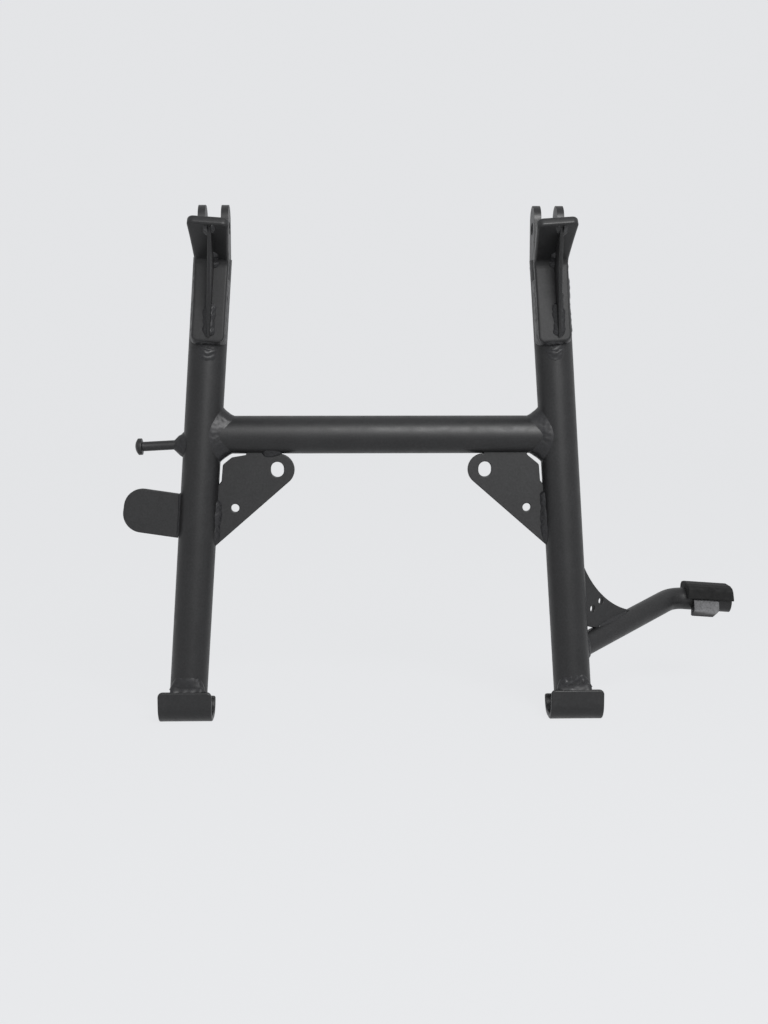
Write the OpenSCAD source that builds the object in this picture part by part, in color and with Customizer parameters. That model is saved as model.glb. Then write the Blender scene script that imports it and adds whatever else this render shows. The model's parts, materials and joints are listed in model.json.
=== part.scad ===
// Centre stand of a motorcycle: a welded frame of two splayed legs and a cross tube.
// X runs across the motorcycle, Y to its rear, Z up. The origin is the middle of the pivot axis.
// The side with the foot lever is +X. Lengths are in millimetres, angles in degrees.

/* [Frame] */
// Distance between the middles of the two pivot forks
pivot_spacing = 277; // [240:1:320]
// Outward lean of each leg
leg_splay = 4; // [1:0.5:7]
// Outside diameter of the leg tubes
tube_d = 32; // [28:1:38]
// Distance of the cross tube's axis behind the legs' axes
cross_back = 3; // [1:0.25:6]
// Wall of the leg tubes and the cross tube
tube_wall = 2.5; // [1.5:0.25:4]
// Drop from the pivot axis to the axis of the cross tube
cross_drop = 171.5; // [150:0.5:200]
// Drop from the pivot axis to the ground under the feet
ground_drop = 417; // [390:1:450]
// Distance along a leg from the pivot axis to the top of its tube
tube_top = 25; // [22:0.5:30]

/* [Pivot forks] */
// Thickness of one ear
ear_t = 6; // [5:0.5:8]
// Clear gap between the two ears
fork_gap = 13; // [8:0.5:14]
// Width of an ear, front to rear
ear_w = 26; // [22:0.5:30]
// Height of an ear's tip above the pivot axis
ear_rise = 19; // [15:0.5:24]
// Bore for the pivot bolt
pivot_d = 10.5; // [8:0.5:12]
// Depth of the gap below the pivot axis
gap_depth = 20; // [14:0.5:21]
// Length of the shank inside the leg tube
shank_len = 38; // [20:1:60]

/* [Stop plates] */
// Thickness of a stop plate
stop_t = 7; // [5:0.5:8]
// Distance of the waist's inner edge from the leg's axis
stop_waist_in = 15; // [12:0.5:16]
// Distance of the waist's outer edge from the leg's axis
stop_waist_out = 12; // [11:0.5:15]
// Distance along the leg from the pivot axis to the plate's waist
stop_waist = 70; // [55:1:80]
// Distance of the tip's inner edge from the leg's axis
stop_tip_in = 17.5; // [16.5:0.5:19]
// Distance of the tip's outer edge from the leg's axis
stop_tip_out = 16; // [15.5:0.5:18]
// Distance along the leg from the pivot axis to the lower end of the plate
stop_low = 94; // [85:1:120]
// Distance along the leg from the pivot axis to the start of the bend
stop_bend = 32; // [28:1:40]
// Forward lean of the plate's upper part
stop_lean = 60; // [40:1:75]
// Length of the leaning part beyond the bend
stop_reach = 49; // [35:1:60]
// Radius inside the bend
stop_bend_r = 6; // [3:0.5:10]
// Radius of the plate's lower corners
stop_low_r = 5; // [2:0.5:8]
// Radius of the plate's corners at its tip
stop_tip_r = 5; // [2:0.5:8]
// Thickness of the web under the bend
web_t = 3; // [2.5:0.5:6]
// Distance from the plate's tip to the web
web_setback = 4; // [3:0.5:15]
// Shift of both webs towards the side with the foot lever
web_shift = 2.2; // [0:0.1:4]
// Depth of the web at its lower end
web_foot = 3; // [1:0.5:6]
// Distance from the plate's lower end to the web
web_rise = 4; // [2:0.5:12]

/* [Feet] */
// Sheet thickness of a foot
foot_t = 4; // [3:0.5:5]
// Length of a foot, across the motorcycle
foot_len = 45.5; // [40:0.5:60]
// Height of a foot's front
foot_h = 28; // [24:0.5:36]
// Height of a foot's rear
foot_rear_h = 16; // [16:0.5:30]
// Outer radius of the bends along a foot
foot_r = 15; // [8:0.5:18]
// Radius of the sheet's corners
foot_corner_r = 4; // [2:0.5:7]
// Distance of a foot's middle outside its leg's axis
foot_offset = 1; // [0:0.5:4]

/* [Gussets] */
// Thickness of a corner gusset
gusset_t = 5; // [3:0.5:8]
// Distance from the middle of the stand to the centre of a gusset's round end
gusset_x = 87; // [80:0.5:95]
// Radius of a gusset's round end
gusset_r = 13.5; // [11:0.5:15]
// Angle of a gusset's long edge below the cross tube
gusset_angle = 41; // [34:0.5:46]
// Width of the gap where the gusset's corner clears the weld of the tubes
corner_gap = 2.2; // [1.5:0.1:4]
// Length of that gap along the cross tube, on the side with the foot lever
gap_run_lever = 12.5; // [12.5:0.5:20]
// Length of that gap along the cross tube, on the other side
gap_run_other = 22; // [14:0.5:26]
// Width of the oval hole
oval_w = 11; // [8:0.5:13]
// Height of the oval hole
oval_h = 13; // [11:0.5:15]
// Diameter of the small hole
small_hole_d = 7; // [4:0.5:9]
// Drop of the small hole below the cross tube
small_hole_low = 46; // [38:0.5:52]
// Distance of the small hole from the leg
small_hole_in = 14.8; // [8:0.2:20]

/* [Spring post and rest tab] */
// Drop from the pivot axis to the root of the spring post
post_drop = 178.6; // [170:0.2:195]
// Shank diameter of the spring post
post_d = 8; // [6:0.5:10]
// Length of the spring post from the leg's axis
post_len = 56.5; // [48:1:70]
// Droop of the spring post
post_droop = 3; // [0:0.5:8]
// Head diameter of the spring post
post_head_d = 14; // [12:0.5:20]
// Head thickness of the spring post
post_head_t = 6; // [3:0.5:8]
// Drop from the pivot axis to the rest tab's middle line, at the leg's axis
tab_drop = 242.5; // [235:0.5:260]
// Thickness of the rest tab
tab_t = 4; // [3:0.5:6]
// Height of the rest tab
tab_h = 37.5; // [30:0.5:45]
// Length of the rest tab from the leg's axis
tab_len = 63.5; // [50:0.5:80]
// Radius of the rest tab's corners
tab_r = 16; // [8:0.5:18]
// Rise of the rest tab towards its end
tab_rise = 8.4; // [0:0.2:12]

/* [Foot lever] */
// Outside diameter of the lever tube
lever_d = 20; // [16:0.5:22]
// Wall of the lever tube
lever_wall = 2; // [1.5:0.25:3]
// Drop from the pivot axis to the lever's root on the leg's axis
lever_drop = 360; // [345:0.5:370]
// Turn of the lever to the rear, about the leg
lever_sweep = 39; // [30:1:50]
// Rise of the lever from square to the leg
lever_rise = 9.4; // [4:0.2:14]
// Length of the lever from the leg's axis to the corner of its bend
lever_len = 145; // [130:1:160]
// Bend radius of the lever, at the tube's middle line
lever_bend_r = 28; // [22:1:34]
// Length of the lever beyond the corner of its bend
tread_reach = 54; // [50:1:60]
// Fall of the lever's outer end
tread_fall = 4; // [0:0.5:8]
// Thickness of the lever gusset
lever_gusset_t = 4; // [3:0.5:6]
// Height of the lever gusset on the leg, from the lever's axis
lever_gusset_h = 86; // [70:1:100]
// Reach of the lever gusset from the leg's axis
lever_gusset_w = 80; // [72:1:95]
// Radius of the lever gusset's hollow edge
lever_gusset_r = 95; // [85:1:120]
// Length of the lever gusset's cut corner along the lever
lever_clip_run = 18.5; // [8:0.5:24]
// Rise of the cut corner at the leg
lever_clip_rise = 8; // [4:0.5:16]
// Diameter of the two holes in the lever gusset
spring_hole_d = 6; // [4:0.5:9]
// Length of the tread pad
pad_len = 43.5; // [38:0.5:46]
// Distance from the corner of the lever's bend to the tread pad
pad_start = 11; // [10:0.5:14]
// Half width of the tread pad, front to rear
pad_half_w = 16; // [14:0.5:20]
// Rubber over the top of the lever tube
pad_over = 5.5; // [3:0.5:8]
// Height of the tread pad's lower edge above the lever's axis
pad_low = 2.5; // [0:0.5:5]
// Distance from the tread pad's inner end to the tab under it
tread_tab_start = 6.5; // [3:0.5:12]
// Length of the tab under the tread pad
tread_tab_len = 23.5; // [15:0.5:30]
// Drop of that tab below the lever's axis
tread_tab_drop = 12.5; // [12:0.5:18]

/* [Welds] */
// Leg length of the welds between the tubes
tube_weld = 8; // [5:0.5:9]
// Leg length of the welds on plates
plate_weld = 4; // [2:0.5:5]

/* [Hidden] */
$fn = 96;
eps = 0.01;
far = 2 * ground_drop;
tube_r = tube_d / 2;
bore_d = tube_d - 2 * tube_wall;
fork_w = fork_gap + 2 * ear_t;
black = "#2b2b2b";
rubber = "#1d1d1d";
weld_black = "#383838";
grey = "#77787a";

// Half distance between the leg axes at a drop below the pivot axis
function leg_x(drop) = pivot_spacing / 2 + drop * tan(leg_splay);
// Points of an arc about c, n + 1 of them
function arc(c, r, a0, a1, n = 12) = [
    for (i = [0:n])
        let (a = a0 + (a1 - a0) * i / n) c + r * [cos(a), sin(a)]
];
function unit(v) = v / norm(v);

// The stop plate's side view, in the leg's own frame: [y, z]
stop_front_y = -tube_r - stop_t;
bend_c = [stop_front_y - stop_bend_r, -stop_bend];
lean_dir = [-sin(stop_lean), cos(stop_lean)];
lean_out = [cos(stop_lean), sin(stop_lean)];
function stop_face(r, along) = bend_c + r * lean_out + along * lean_dir;
// One long edge of the plate seen from the front, [x, z]: a wide arc from the waist to the tip
function stop_edge(waist, tip) =
    let (
        flare = tip - waist,
        r = (stop_waist ^ 2 + flare ^ 2) / 2 / flare,
        high = stop_face(stop_bend_r + stop_t, stop_reach)[1] + 1
    )
    arc(
        [waist + r, -stop_waist], r, 180 + asin((stop_low - stop_low_r - stop_waist) / r),
        180 - asin((stop_waist + high) / r), 20
    );

// The inboard face of the right leg tube at a drop below the pivot axis
function leg_face(drop) = leg_x(drop) - tube_r / cos(leg_splay);

// The gusset's outline, right side, [x, z]: the long edge runs from gusset_start to the leg's axis
cross_under = cross_drop + tube_r;
gusset_c = [gusset_x, -cross_under - gusset_r];
long_edge = [cos(gusset_angle), -sin(gusset_angle)];
gusset_start = gusset_c - gusset_r * [sin(gusset_angle), cos(gusset_angle)];
function long_edge_to(half) = (leg_x(-gusset_start[1]) - half - gusset_start[0])
    / (long_edge[0] + long_edge[1] * tan(leg_splay));
gusset_end = gusset_start + long_edge_to(0) * long_edge;
gusset_foot = gusset_start + long_edge_to(tube_r / cos(leg_splay)) * long_edge;
small_hole_drop = cross_under + small_hole_low;
small_hole = [leg_face(small_hole_drop) - small_hole_in, -small_hole_drop];
clip_low = cross_under + tube_weld + 19;

// The lever: its root, its direction, and the direction of its outer end
lever_root = [leg_x(lever_drop), 0, -lever_drop];
leg_up = [-sin(leg_splay), 0, cos(leg_splay)];
lever_side = [
    cos(lever_sweep) * cos(leg_splay), sin(lever_sweep), cos(lever_sweep) * sin(leg_splay)
];
lever_dir = cos(lever_rise) * lever_side + sin(lever_rise) * leg_up;
tread_dir = [cos(tread_fall), 0, -sin(tread_fall)];
lever_bend = acos(lever_dir * tread_dir);
bend_axis = unit(cross(lever_dir, tread_dir));
bend_side = cross(bend_axis, lever_dir);
bend_setback = lever_bend_r * tan(lever_bend / 2);
bend_point = lever_root + lever_len * lever_dir;
// The straight stretches lap over the bend, whose wall is a hair thinner, so that they join
bend_lap = 0.4;
bend_ease = 0.01;

// The lever gusset's outline, in a frame whose x is square to the leg and whose y runs up the leg
function lever_top(x) = x * tan(lever_rise) + lever_d / 2 / cos(lever_rise);
hollow_top = [tube_r, lever_gusset_h];
hollow_tip = [lever_gusset_w, lever_top(lever_gusset_w)];
hollow_mid = (hollow_top + hollow_tip) / 2;
hollow_half = norm(hollow_tip - hollow_top) / 2;
hollow_across = unit([hollow_top[1] - hollow_tip[1], hollow_tip[0] - hollow_top[0]]);
hollow_c = hollow_mid + sqrt(lever_gusset_r ^ 2 - hollow_half ^ 2) * hollow_across;
lever_clip = [tube_r + lever_clip_run, lever_top(tube_r + lever_clip_run)];
spring_holes = [[tube_r + 25.5, lever_clip[1] + 22.2], [tube_r + 14, lever_clip[1] + 17.2]];
function angle_of(v) = atan2(v[1], v[0]) + 360;
hollow_from = angle_of(hollow_top - hollow_c);
hollow_to = angle_of(hollow_tip - hollow_c);

// Draws its children on the right, or mirrored on the left for side -1
module on_side(side) {
    if (side < 0) mirror([1, 0, 0]) children();
    else children();
}

// The right leg's own frame: its origin is on the pivot axis, its -Z runs down the leg
module leg_frame() {
    translate([pivot_spacing / 2, 0, 0]) rotate([0, -leg_splay, 0]) children();
}

// A cylinder along X, from x0 to x1
module x_rod(d, x0, x1) {
    translate([x0, 0, 0]) rotate([0, 90, 0]) cylinder(d = d, h = x1 - x0);
}

// A flat shape drawn in [y, z], given a width along X
module side_view(w) {
    rotate([90, 0, 90]) linear_extrude(w, center = true) children();
}

// A flat shape drawn in [x, z], given a thickness along Y
module front_view(t) {
    rotate([90, 0, 0]) linear_extrude(t, center = true) children();
}

// The solid rod that the right leg tube fills, used to cut what meets it
module leg_rod() {
    leg_frame() translate([0, 0, -ground_drop - tube_d]) cylinder(d = tube_d, h = ground_drop + tube_d);
}

// The solid rod that the cross tube fills
module cross_rod() {
    translate([0, cross_back, -cross_drop]) x_rod(tube_d, -leg_x(cross_drop), leg_x(cross_drop));
}

module leg_tube(side) {
    end_z = ground_drop - foot_r;
    color(black) on_side(side) intersection() {
        leg_frame() difference() {
            translate([0, 0, -ground_drop]) cylinder(d = tube_d, h = ground_drop - tube_top);
            translate([0, 0, -ground_drop - eps]) cylinder(d = bore_d, h = ground_drop);
        }
        translate([0, -tube_d, -end_z]) cube([far, 2 * tube_d, end_z]);
    }
}

module cross_tube() {
    color(black) difference() {
        cross_rod();
        translate([0, cross_back, -cross_drop])
            x_rod(bore_d, -leg_x(cross_drop) - eps, leg_x(cross_drop) + eps);
        for (side = [-1, 1]) on_side(side) leg_rod();
    }
}

// Two ears for the pivot bolt, and a round shank that fills the top of the leg tube
module pivot_fork(side) {
    ear_r = ear_w / 2;
    gap_r = fork_gap / 2;
    color(black) on_side(side) difference() {
        union() {
            intersection() {
                translate([pivot_spacing / 2, 0, 0]) side_view(fork_w) {
                    translate([0, ear_rise - ear_r]) circle(r = ear_r);
                    translate([-ear_r, -2 * tube_top]) square([ear_w, 2 * tube_top + ear_rise - ear_r]);
                }
                leg_frame() translate([-tube_d, -tube_d, -tube_top]) cube([2 * tube_d, 2 * tube_d, far]);
            }
            leg_frame() translate([0, 0, -tube_top - shank_len]) cylinder(d = bore_d, h = shank_len);
        }
        translate([pivot_spacing / 2, 0, gap_r - gap_depth]) {
            rotate([90, 0, 0]) cylinder(r = gap_r, h = 2 * tube_d, center = true);
            translate([-gap_r, -tube_d, 0]) cube([fork_gap, 2 * tube_d, far]);
        }
        translate([pivot_spacing / 2, 0, 0]) x_rod(pivot_d, -tube_d, tube_d);
    }
}

// A thick plate against the front of the leg, bent so that its upper part leans forwards
module stop_plate(side) {
    outer = stop_edge(stop_waist_out, stop_tip_out);
    inner = stop_edge(stop_waist_in, stop_tip_in);
    tip = stop_reach - stop_tip_r;
    color(black) on_side(side) leg_frame() intersection() {
        side_view(2 * tube_d) polygon(concat(
            [[stop_front_y, -stop_low], [-tube_r, -stop_low]],
            arc(bend_c, stop_bend_r + stop_t, 0, stop_lean),
            [stop_face(stop_bend_r + stop_t, stop_reach), stop_face(stop_bend_r, stop_reach)],
            arc(bend_c, stop_bend_r, stop_lean, 0)
        ));
        front_view(8 * tube_d) polygon(concat(
            arc([outer[0][0] - stop_low_r, stop_low_r - stop_low], stop_low_r, 270, 360, 8), outer,
            [for (i = [len(inner) - 1:-1:0]) [-inner[i][0], inner[i][1]]],
            arc([stop_low_r - inner[0][0], stop_low_r - stop_low], stop_low_r, 180, 270, 8)
        ));
        translate([0, bend_c[0], bend_c[1]]) rotate([90 + stop_lean, 0, 0])
            linear_extrude(8 * tube_d, center = true) polygon(concat(
                [[-stop_tip_in, -stop_low], [stop_tip_out, -stop_low]],
                arc([stop_tip_out - stop_tip_r, tip], stop_tip_r, 0, 90, 8),
                arc([stop_tip_r - stop_tip_in, tip], stop_tip_r, 90, 180, 8)
            ));
    }
}

// An upright rib in the hollow of the stop plate's bend
module stop_web(side) {
    low = stop_low - web_rise;
    color(black) on_side(side) leg_frame() translate([side * web_shift, 0, 0])
        side_view(web_t) polygon(concat(
            [[stop_front_y - web_foot, -low], [stop_front_y, -low]],
            arc(bend_c, stop_bend_r, 0, stop_lean),
            [stop_face(stop_bend_r, stop_reach - web_setback)]
        ));
}

// A sheet bent into a trough, high in front and low at the rear, which the leg tube stands in
module foot(side) {
    half = tube_r + foot_t;
    inner_r = foot_r - foot_t;
    mid = foot_len / 2 - foot_corner_r;
    color(black) on_side(side) foot_frame() intersection() {
        side_view(foot_len) polygon(concat(
            [[-half, foot_h]],
            arc([foot_r - half, foot_r], foot_r, 180, 270),
            arc([half - foot_r, foot_r], foot_r, 270, 360),
            [[half, foot_rear_h], [tube_r, foot_rear_h]],
            arc([half - foot_r, foot_r], inner_r, 360, 270),
            arc([foot_r - half, foot_r], inner_r, 270, 180),
            [[-tube_r, foot_h]]
        ));
        front_view(4 * tube_d) polygon(concat(
            arc([mid, foot_corner_r], foot_corner_r, -90, 0, 8),
            arc([mid, foot_h - foot_corner_r], foot_corner_r, 0, 90, 8),
            arc([-mid, foot_h - foot_corner_r], foot_corner_r, 90, 180, 8),
            arc([-mid, foot_corner_r], foot_corner_r, 180, 270, 8)
        ));
    }
}

// The middle of the right foot's underside
module foot_frame() {
    translate([leg_x(ground_drop - foot_r) + foot_offset, 0, -ground_drop]) children();
}

// A plate in the corner under the cross tube, its inner corner cut back to clear the tubes' weld
module gusset(side) {
    oval_step = (oval_h - oval_w) / 2;
    oval = gusset_c + [1, 0.2];
    top = -cross_under;
    run = side > 0 ? gap_run_lever : gap_run_other;
    color(black) on_side(side) difference() {
        front_view(gusset_t) difference() {
            polygon(concat(
                [[gusset_x, top + 2]], arc(gusset_c, gusset_r, 90, 270 - gusset_angle, 24),
                [gusset_end, [leg_x(cross_under), top + 2]]
            ));
            polygon([
                [leg_face(cross_under) - run, top + 3],
                [leg_face(cross_under) - run, top],
                [leg_face(cross_under) - run + 1, top - corner_gap / 2],
                [leg_face(cross_under) - tube_weld - 1, top - corner_gap * sqrt(2)],
                [leg_face(cross_under) - corner_gap, top - tube_weld - corner_gap / 2],
                [leg_face(clip_low) - corner_gap, 8 - clip_low],
                [leg_face(clip_low), -clip_low],
                [leg_x(clip_low), -clip_low],
                [leg_x(cross_under), top + 3]
            ]);
            translate(small_hole) circle(d = small_hole_d);
            for (z = [-oval_step, oval_step]) translate(oval + [0, z]) circle(d = oval_w);
            translate(oval) square([oval_w, 2 * oval_step], center = true);
        }
        leg_rod();
        cross_rod();
    }
}

// The spring post's own frame: its origin is on the leg's axis, its X runs out along the post
module post_frame() {
    translate([leg_x(post_drop), 0, -post_drop]) rotate([0, post_droop, 0]) children();
}

// A post with a domed head that holds the hook of the return spring
module spring_post() {
    dome_r = post_head_d * 0.75;
    rim = acos(post_head_d / 2 / dome_r);
    head_x = post_len - post_head_t;
    color(black) on_side(-1) difference() {
        post_frame() rotate([0, 90, 0]) rotate_extrude() polygon(concat(
            [[0, 0], [post_d / 2, 0], [post_d / 2, head_x], [post_head_d / 2, head_x]],
            arc([0, post_len - dome_r], dome_r, rim, 90)
        ));
        leg_rod();
    }
}

// The rest tab's own frame: its origin is on the leg's axis, its X runs out along the tab
module tab_frame() {
    translate([leg_x(tab_drop), 0, -tab_drop]) rotate([0, -tab_rise, 0]) children();
}

// A flat tab with a round end, square to the leg
module rest_tab() {
    up = tab_h / 2 - tab_r;
    color(black) on_side(-1) difference() {
        tab_frame() front_view(tab_t) {
            translate([0, -tab_h / 2]) square([tab_len - tab_r, tab_h]);
            translate([tab_len - tab_r - 1, -up]) square([tab_r + 1, 2 * up]);
            for (z = [-up, up]) translate([tab_len - tab_r, z]) circle(r = tab_r);
        }
        leg_rod();
    }
}

// The lever gusset's frame: X square to the leg towards the lever, Z up the leg
module lever_plane() {
    translate(lever_root) rotate([0, -leg_splay, 0]) rotate([0, 0, lever_sweep]) children();
}

// The lever's frame: X along its first stretch, Y towards the side that it bends to
module lever_frame() {
    multmatrix([
        for (i = [0:2]) [lever_dir[i], bend_side[i], bend_axis[i], lever_root[i]],
        [0, 0, 0, 1]
    ]) children();
}

// The frame of the lever's outer end: X out along the tube, Z up
module tread_frame() {
    translate(bend_point) rotate([0, tread_fall, 0]) children();
}

module lever_tube() {
    color(black) difference() {
        lever_frame() {
            rotate([0, 90, 0]) linear_extrude(lever_len - bend_setback + bend_lap) lever_ring();
            elbow_frame() {
                rotate_extrude(angle = lever_bend) translate([lever_bend_r, 0]) lever_ring(bend_ease);
                rotate([0, 0, lever_bend]) translate([lever_bend_r, -bend_lap, 0]) rotate([-90, 0, 0])
                    linear_extrude(tread_reach - bend_setback + bend_lap) lever_ring();
            }
        }
        leg_rod();
    }
}

// The cross section of the lever's tube, its wall thinner by ease on both faces
module lever_ring(ease = 0) {
    difference() {
        circle(r = lever_d / 2 - ease);
        circle(r = lever_d / 2 - lever_wall + ease);
    }
}

// The middle of the lever's bend, inside the lever's frame, turned so that the bend starts on +X
module elbow_frame() {
    translate([lever_len - bend_setback, lever_bend_r, 0]) rotate([0, 0, -90]) children();
}

// The solid rod that the lever's first stretch fills
module lever_rod() {
    lever_frame() x_rod(lever_d, 0, lever_len - bend_setback);
}

// What the lever's outer end and its bend take out of the pieces on it
module tread_rod() {
    tread_frame() x_rod(lever_d, bend_setback, tread_reach + 1);
    lever_frame() elbow_frame() rotate_extrude(angle = lever_bend + 1)
        translate([lever_bend_r, 0]) circle(r = lever_d / 2 + 10 * bend_ease);
}

// A thin plate between the leg and the lever, with a hollow edge and two holes
module lever_gusset() {
    color(black) difference() {
        lever_plane() front_view(lever_gusset_t) difference() {
            polygon(concat(
                [[0, hollow_top[1]]],
                arc(hollow_c, lever_gusset_r, hollow_from, hollow_to, 24),
                [hollow_tip - [0, lever_d / 2], lever_clip - [0, lever_d / 2], lever_clip],
                [for (x = [tube_r, 0]) [x, lever_clip[1] + lever_clip_rise]]
            ));
            for (hole = spring_holes) translate(hole) circle(d = spring_hole_d);
        }
        leg_rod();
        lever_rod();
    }
}

// A rubber block moulded over the top and the front of the lever's outer end
module tread_pad() {
    crown = lever_d / 2 + pad_over;
    end = pad_start + pad_len;
    color(rubber) difference() {
        tread_frame() intersection() {
            translate([pad_start + pad_len / 2, 0, 0]) side_view(pad_len) polygon([
                [-pad_half_w, pad_low], [-pad_half_w, crown - 4], [-pad_half_w + 2, crown - 1.5],
                [-pad_half_w / 2, crown], [pad_half_w / 2, crown], [pad_half_w - 2, crown - 1.5],
                [pad_half_w, crown - 4], [pad_half_w, pad_low]
            ]);
            front_view(3 * pad_half_w) polygon([
                [pad_start, pad_low], [end, pad_low], [end - 2.7, crown], [pad_start, crown]
            ]);
        }
        tread_rod();
    }
}

// A short tab on the front of the lever's end, under the pad, sloping forwards and down
module tread_tab() {
    r = lever_d / 2;
    drop = tread_tab_drop;
    start = pad_start + tread_tab_start;
    end = start + tread_tab_len;
    color(grey) difference() {
        tread_frame() intersection() {
            translate([start, 0, 0]) side_view(2 * pad_len) polygon([
                [1 - r, 2], [-r - 3, 2], [-2 * r, 4 - drop], [-2 * r, -drop], [-1.6 * r, -drop],
                [-r / 2, 6.5 - drop]
            ]);
            front_view(3 * pad_half_w) polygon([
                [start, 3], [end, 3], [end - 0.5, 6 - drop], [end - 7, -drop - 0.5],
                [start - 2.5, -drop - 0.5], [start, 6 - drop]
            ]);
        }
        tread_rod();
    }
}

// A fillet along a straight edge where a plate of thickness t stands on a rod of radius r.
// It runs along Z from z0 to z1, on both faces of the plate, with the plate on the rod's +X side
// and the rod's axis along Z, at Y = back. What it overlaps of the rod is cut off by its caller.
module plate_fillet(r, t, z0, z1, back = 0) {
    for (face = [-1, 1]) {
        side = face * (t / 2 + plate_weld);
        toe = sqrt(r ^ 2 - (side - back) ^ 2);
        translate([0, 0, z0]) linear_extrude(z1 - z0) polygon([
            [toe - 3, face * t / 2], [r + plate_weld, face * t / 2], [toe + 0.4, side], [toe - 3, side]
        ]);
    }
}

// A collar of weld round the cross tube's end: a cone on the tube, kept close to the leg
module cross_weld(side) {
    start = tube_r / 2;
    reach = tube_r + 1.4 * tube_weld;
    slope = tube_weld / (reach - tube_r);
    color(weld_black) on_side(side) difference() {
        translate([0, cross_back, 0]) intersection() {
            translate([leg_x(cross_drop) - start, 0, -cross_drop]) rotate([0, -90, 0])
                cylinder(r1 = tube_r + slope * (reach - start), r2 = tube_r, h = reach - start);
            cube([far, tube_d + 3, far], center = true);
        }
        leg_rod();
        cross_rod();
    }
}

// Weld down both sides of the stop plate and under its lower edge
module stop_weld(side) {
    length = stop_low - stop_bend - 6;
    bead = 10;
    color(weld_black) on_side(side) difference() {
        leg_frame() {
            for (edge = [-1, 1]) {
                half = edge > 0 ? stop_waist_out : stop_waist_in;
                translate([0, 0, 4 - stop_low]) linear_extrude(length) polygon([
                    [edge * (half - 6), -tube_r], [edge * half, -tube_r],
                    [edge * (half + 1.5), -tube_r + 6], [edge * (half - 2), -tube_r + 8]
                ]);
            }
            side_view(stop_waist_in + 4) polygon([
                [stop_front_y + 2, -stop_low], [-tube_r, -stop_low - bead], [2 - tube_r, -stop_low - bead],
                [6 - tube_r, -stop_low]
            ]);
        }
        leg_rod();
    }
}

// Weld between the upper edges of the foot and the leg tube, front and rear
module foot_weld(side) {
    rise = 9;
    half_w = foot_len * 0.31;
    color(weld_black) on_side(side) for (face = [-1, 1]) difference() {
        top = face < 0 ? foot_h : foot_rear_h;
        intersection() {
            leg_frame() translate([0, 0, top + rise - ground_drop]) mirror([0, 0, 1])
                cylinder(r1 = tube_r, r2 = tube_r + 2 * foot_t - 1, h = 2 * rise);
            foot_frame() translate([-half_w, face < 0 ? -tube_d : tube_r - 6, top])
                cube([2 * half_w, tube_d + 6 - tube_r, 2 * rise]);
        }
        leg_rod();
    }
}

// Weld on both faces of a corner gusset, along the leg and along the cross tube
module gusset_weld(side) {
    run = side > 0 ? gap_run_lever : gap_run_other;
    color(weld_black) on_side(side) {
        difference() {
            leg_frame() rotate([0, 0, 180]) plate_fillet(
                tube_r, gusset_t, gusset_foot[1] / cos(leg_splay) + 5, -clip_low / cos(leg_splay)
            );
            leg_rod();
        }
        difference() {
            translate([gusset_x - 3, 0, -cross_drop]) rotate([0, 90, 0]) plate_fillet(
                tube_r, gusset_t, 0, leg_face(cross_under) - run - gusset_x + 2, cross_back
            );
            cross_rod();
        }
    }
}

module spring_post_weld() {
    start = tube_r - 5;
    color(weld_black) on_side(-1) difference() {
        post_frame() difference() {
            translate([start, 0, 0]) rotate([0, 90, 0])
                cylinder(r1 = post_d / 2 + tube_weld + 5, r2 = post_d / 2, h = tube_weld + 5);
            x_rod(post_d, 0, post_len);
        }
        post_frame() translate([0, -tube_d, -tube_d]) cube([2, 2 * tube_d, 2 * tube_d]);
        leg_rod();
    }
}

module rest_tab_weld() {
    root = -(tab_drop - tube_r * tan(tab_rise)) / cos(leg_splay);
    run = tab_h / 2 - 2;
    color(weld_black) on_side(-1) difference() {
        leg_frame() plate_fillet(tube_r, tab_t, root - run, root + run);
        leg_rod();
    }
}

// A collar of weld round the lever's root
module lever_weld() {
    reach = 4;
    color(weld_black) difference() {
        lever_frame() intersection() {
            translate([tube_r - 4, 0, 0]) rotate([0, 90, 0])
                cylinder(r1 = lever_d / 2 + reach + 4, r2 = lever_d / 2, h = reach + 4);
            x_rod(lever_d + 2 * reach, 0, tube_d);
        }
        leg_rod();
        lever_rod();
    }
}

// Weld on both faces of the lever gusset, along the leg and along the lever
module lever_gusset_weld() {
    r = lever_d / 2;
    color(weld_black) difference() {
        union() {
            lever_plane() plate_fillet(
                tube_r, lever_gusset_t, lever_clip[1] + lever_clip_rise + plate_weld, hollow_top[1] - 6
            );
            lever_plane() rotate([0, -lever_rise, 0])
                translate([lever_clip[0] / cos(lever_rise) + 3, 0, 0])
                    rotate([0, 90, 0]) rotate([0, 0, 180])
                        plate_fillet(r, lever_gusset_t, 0, hollow_tip[0] - lever_clip[0] - 2 * plate_weld);
        }
        leg_rod();
        lever_rod();
    }
}

leg_tube(-1);  // left_leg_tube
leg_tube(1);  // right_leg_tube
cross_tube();
pivot_fork(-1);  // left_pivot_fork
pivot_fork(1);  // right_pivot_fork
stop_plate(-1);  // left_stop_plate
stop_plate(1);  // right_stop_plate
stop_web(-1);  // left_stop_web
stop_web(1);  // right_stop_web
foot(-1);  // left_foot
foot(1);  // right_foot
gusset(-1);  // left_gusset
gusset(1);  // right_gusset
spring_post();
rest_tab();
lever_tube();
lever_gusset();
tread_pad();
tread_tab();
cross_weld(-1);  // left_cross_weld
cross_weld(1);  // right_cross_weld
stop_weld(-1);  // left_stop_weld
stop_weld(1);  // right_stop_weld
foot_weld(-1);  // left_foot_weld
foot_weld(1);  // right_foot_weld
gusset_weld(-1);  // left_gusset_weld
gusset_weld(1);  // right_gusset_weld
spring_post_weld();
rest_tab_weld();
lever_weld();
lever_gusset_weld();
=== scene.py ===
"""Dresses the centre stand: rounded plates, rippled welds, black powder coat, floor, lights and camera.

Lengths are in metres, in the stand's own frame: X to the side with the foot lever, Y to the rear, Z up,
with the origin in the middle of the pivot axis. Everything that has a twin is worked out on the right
side and mirrored for the left.
"""

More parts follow.
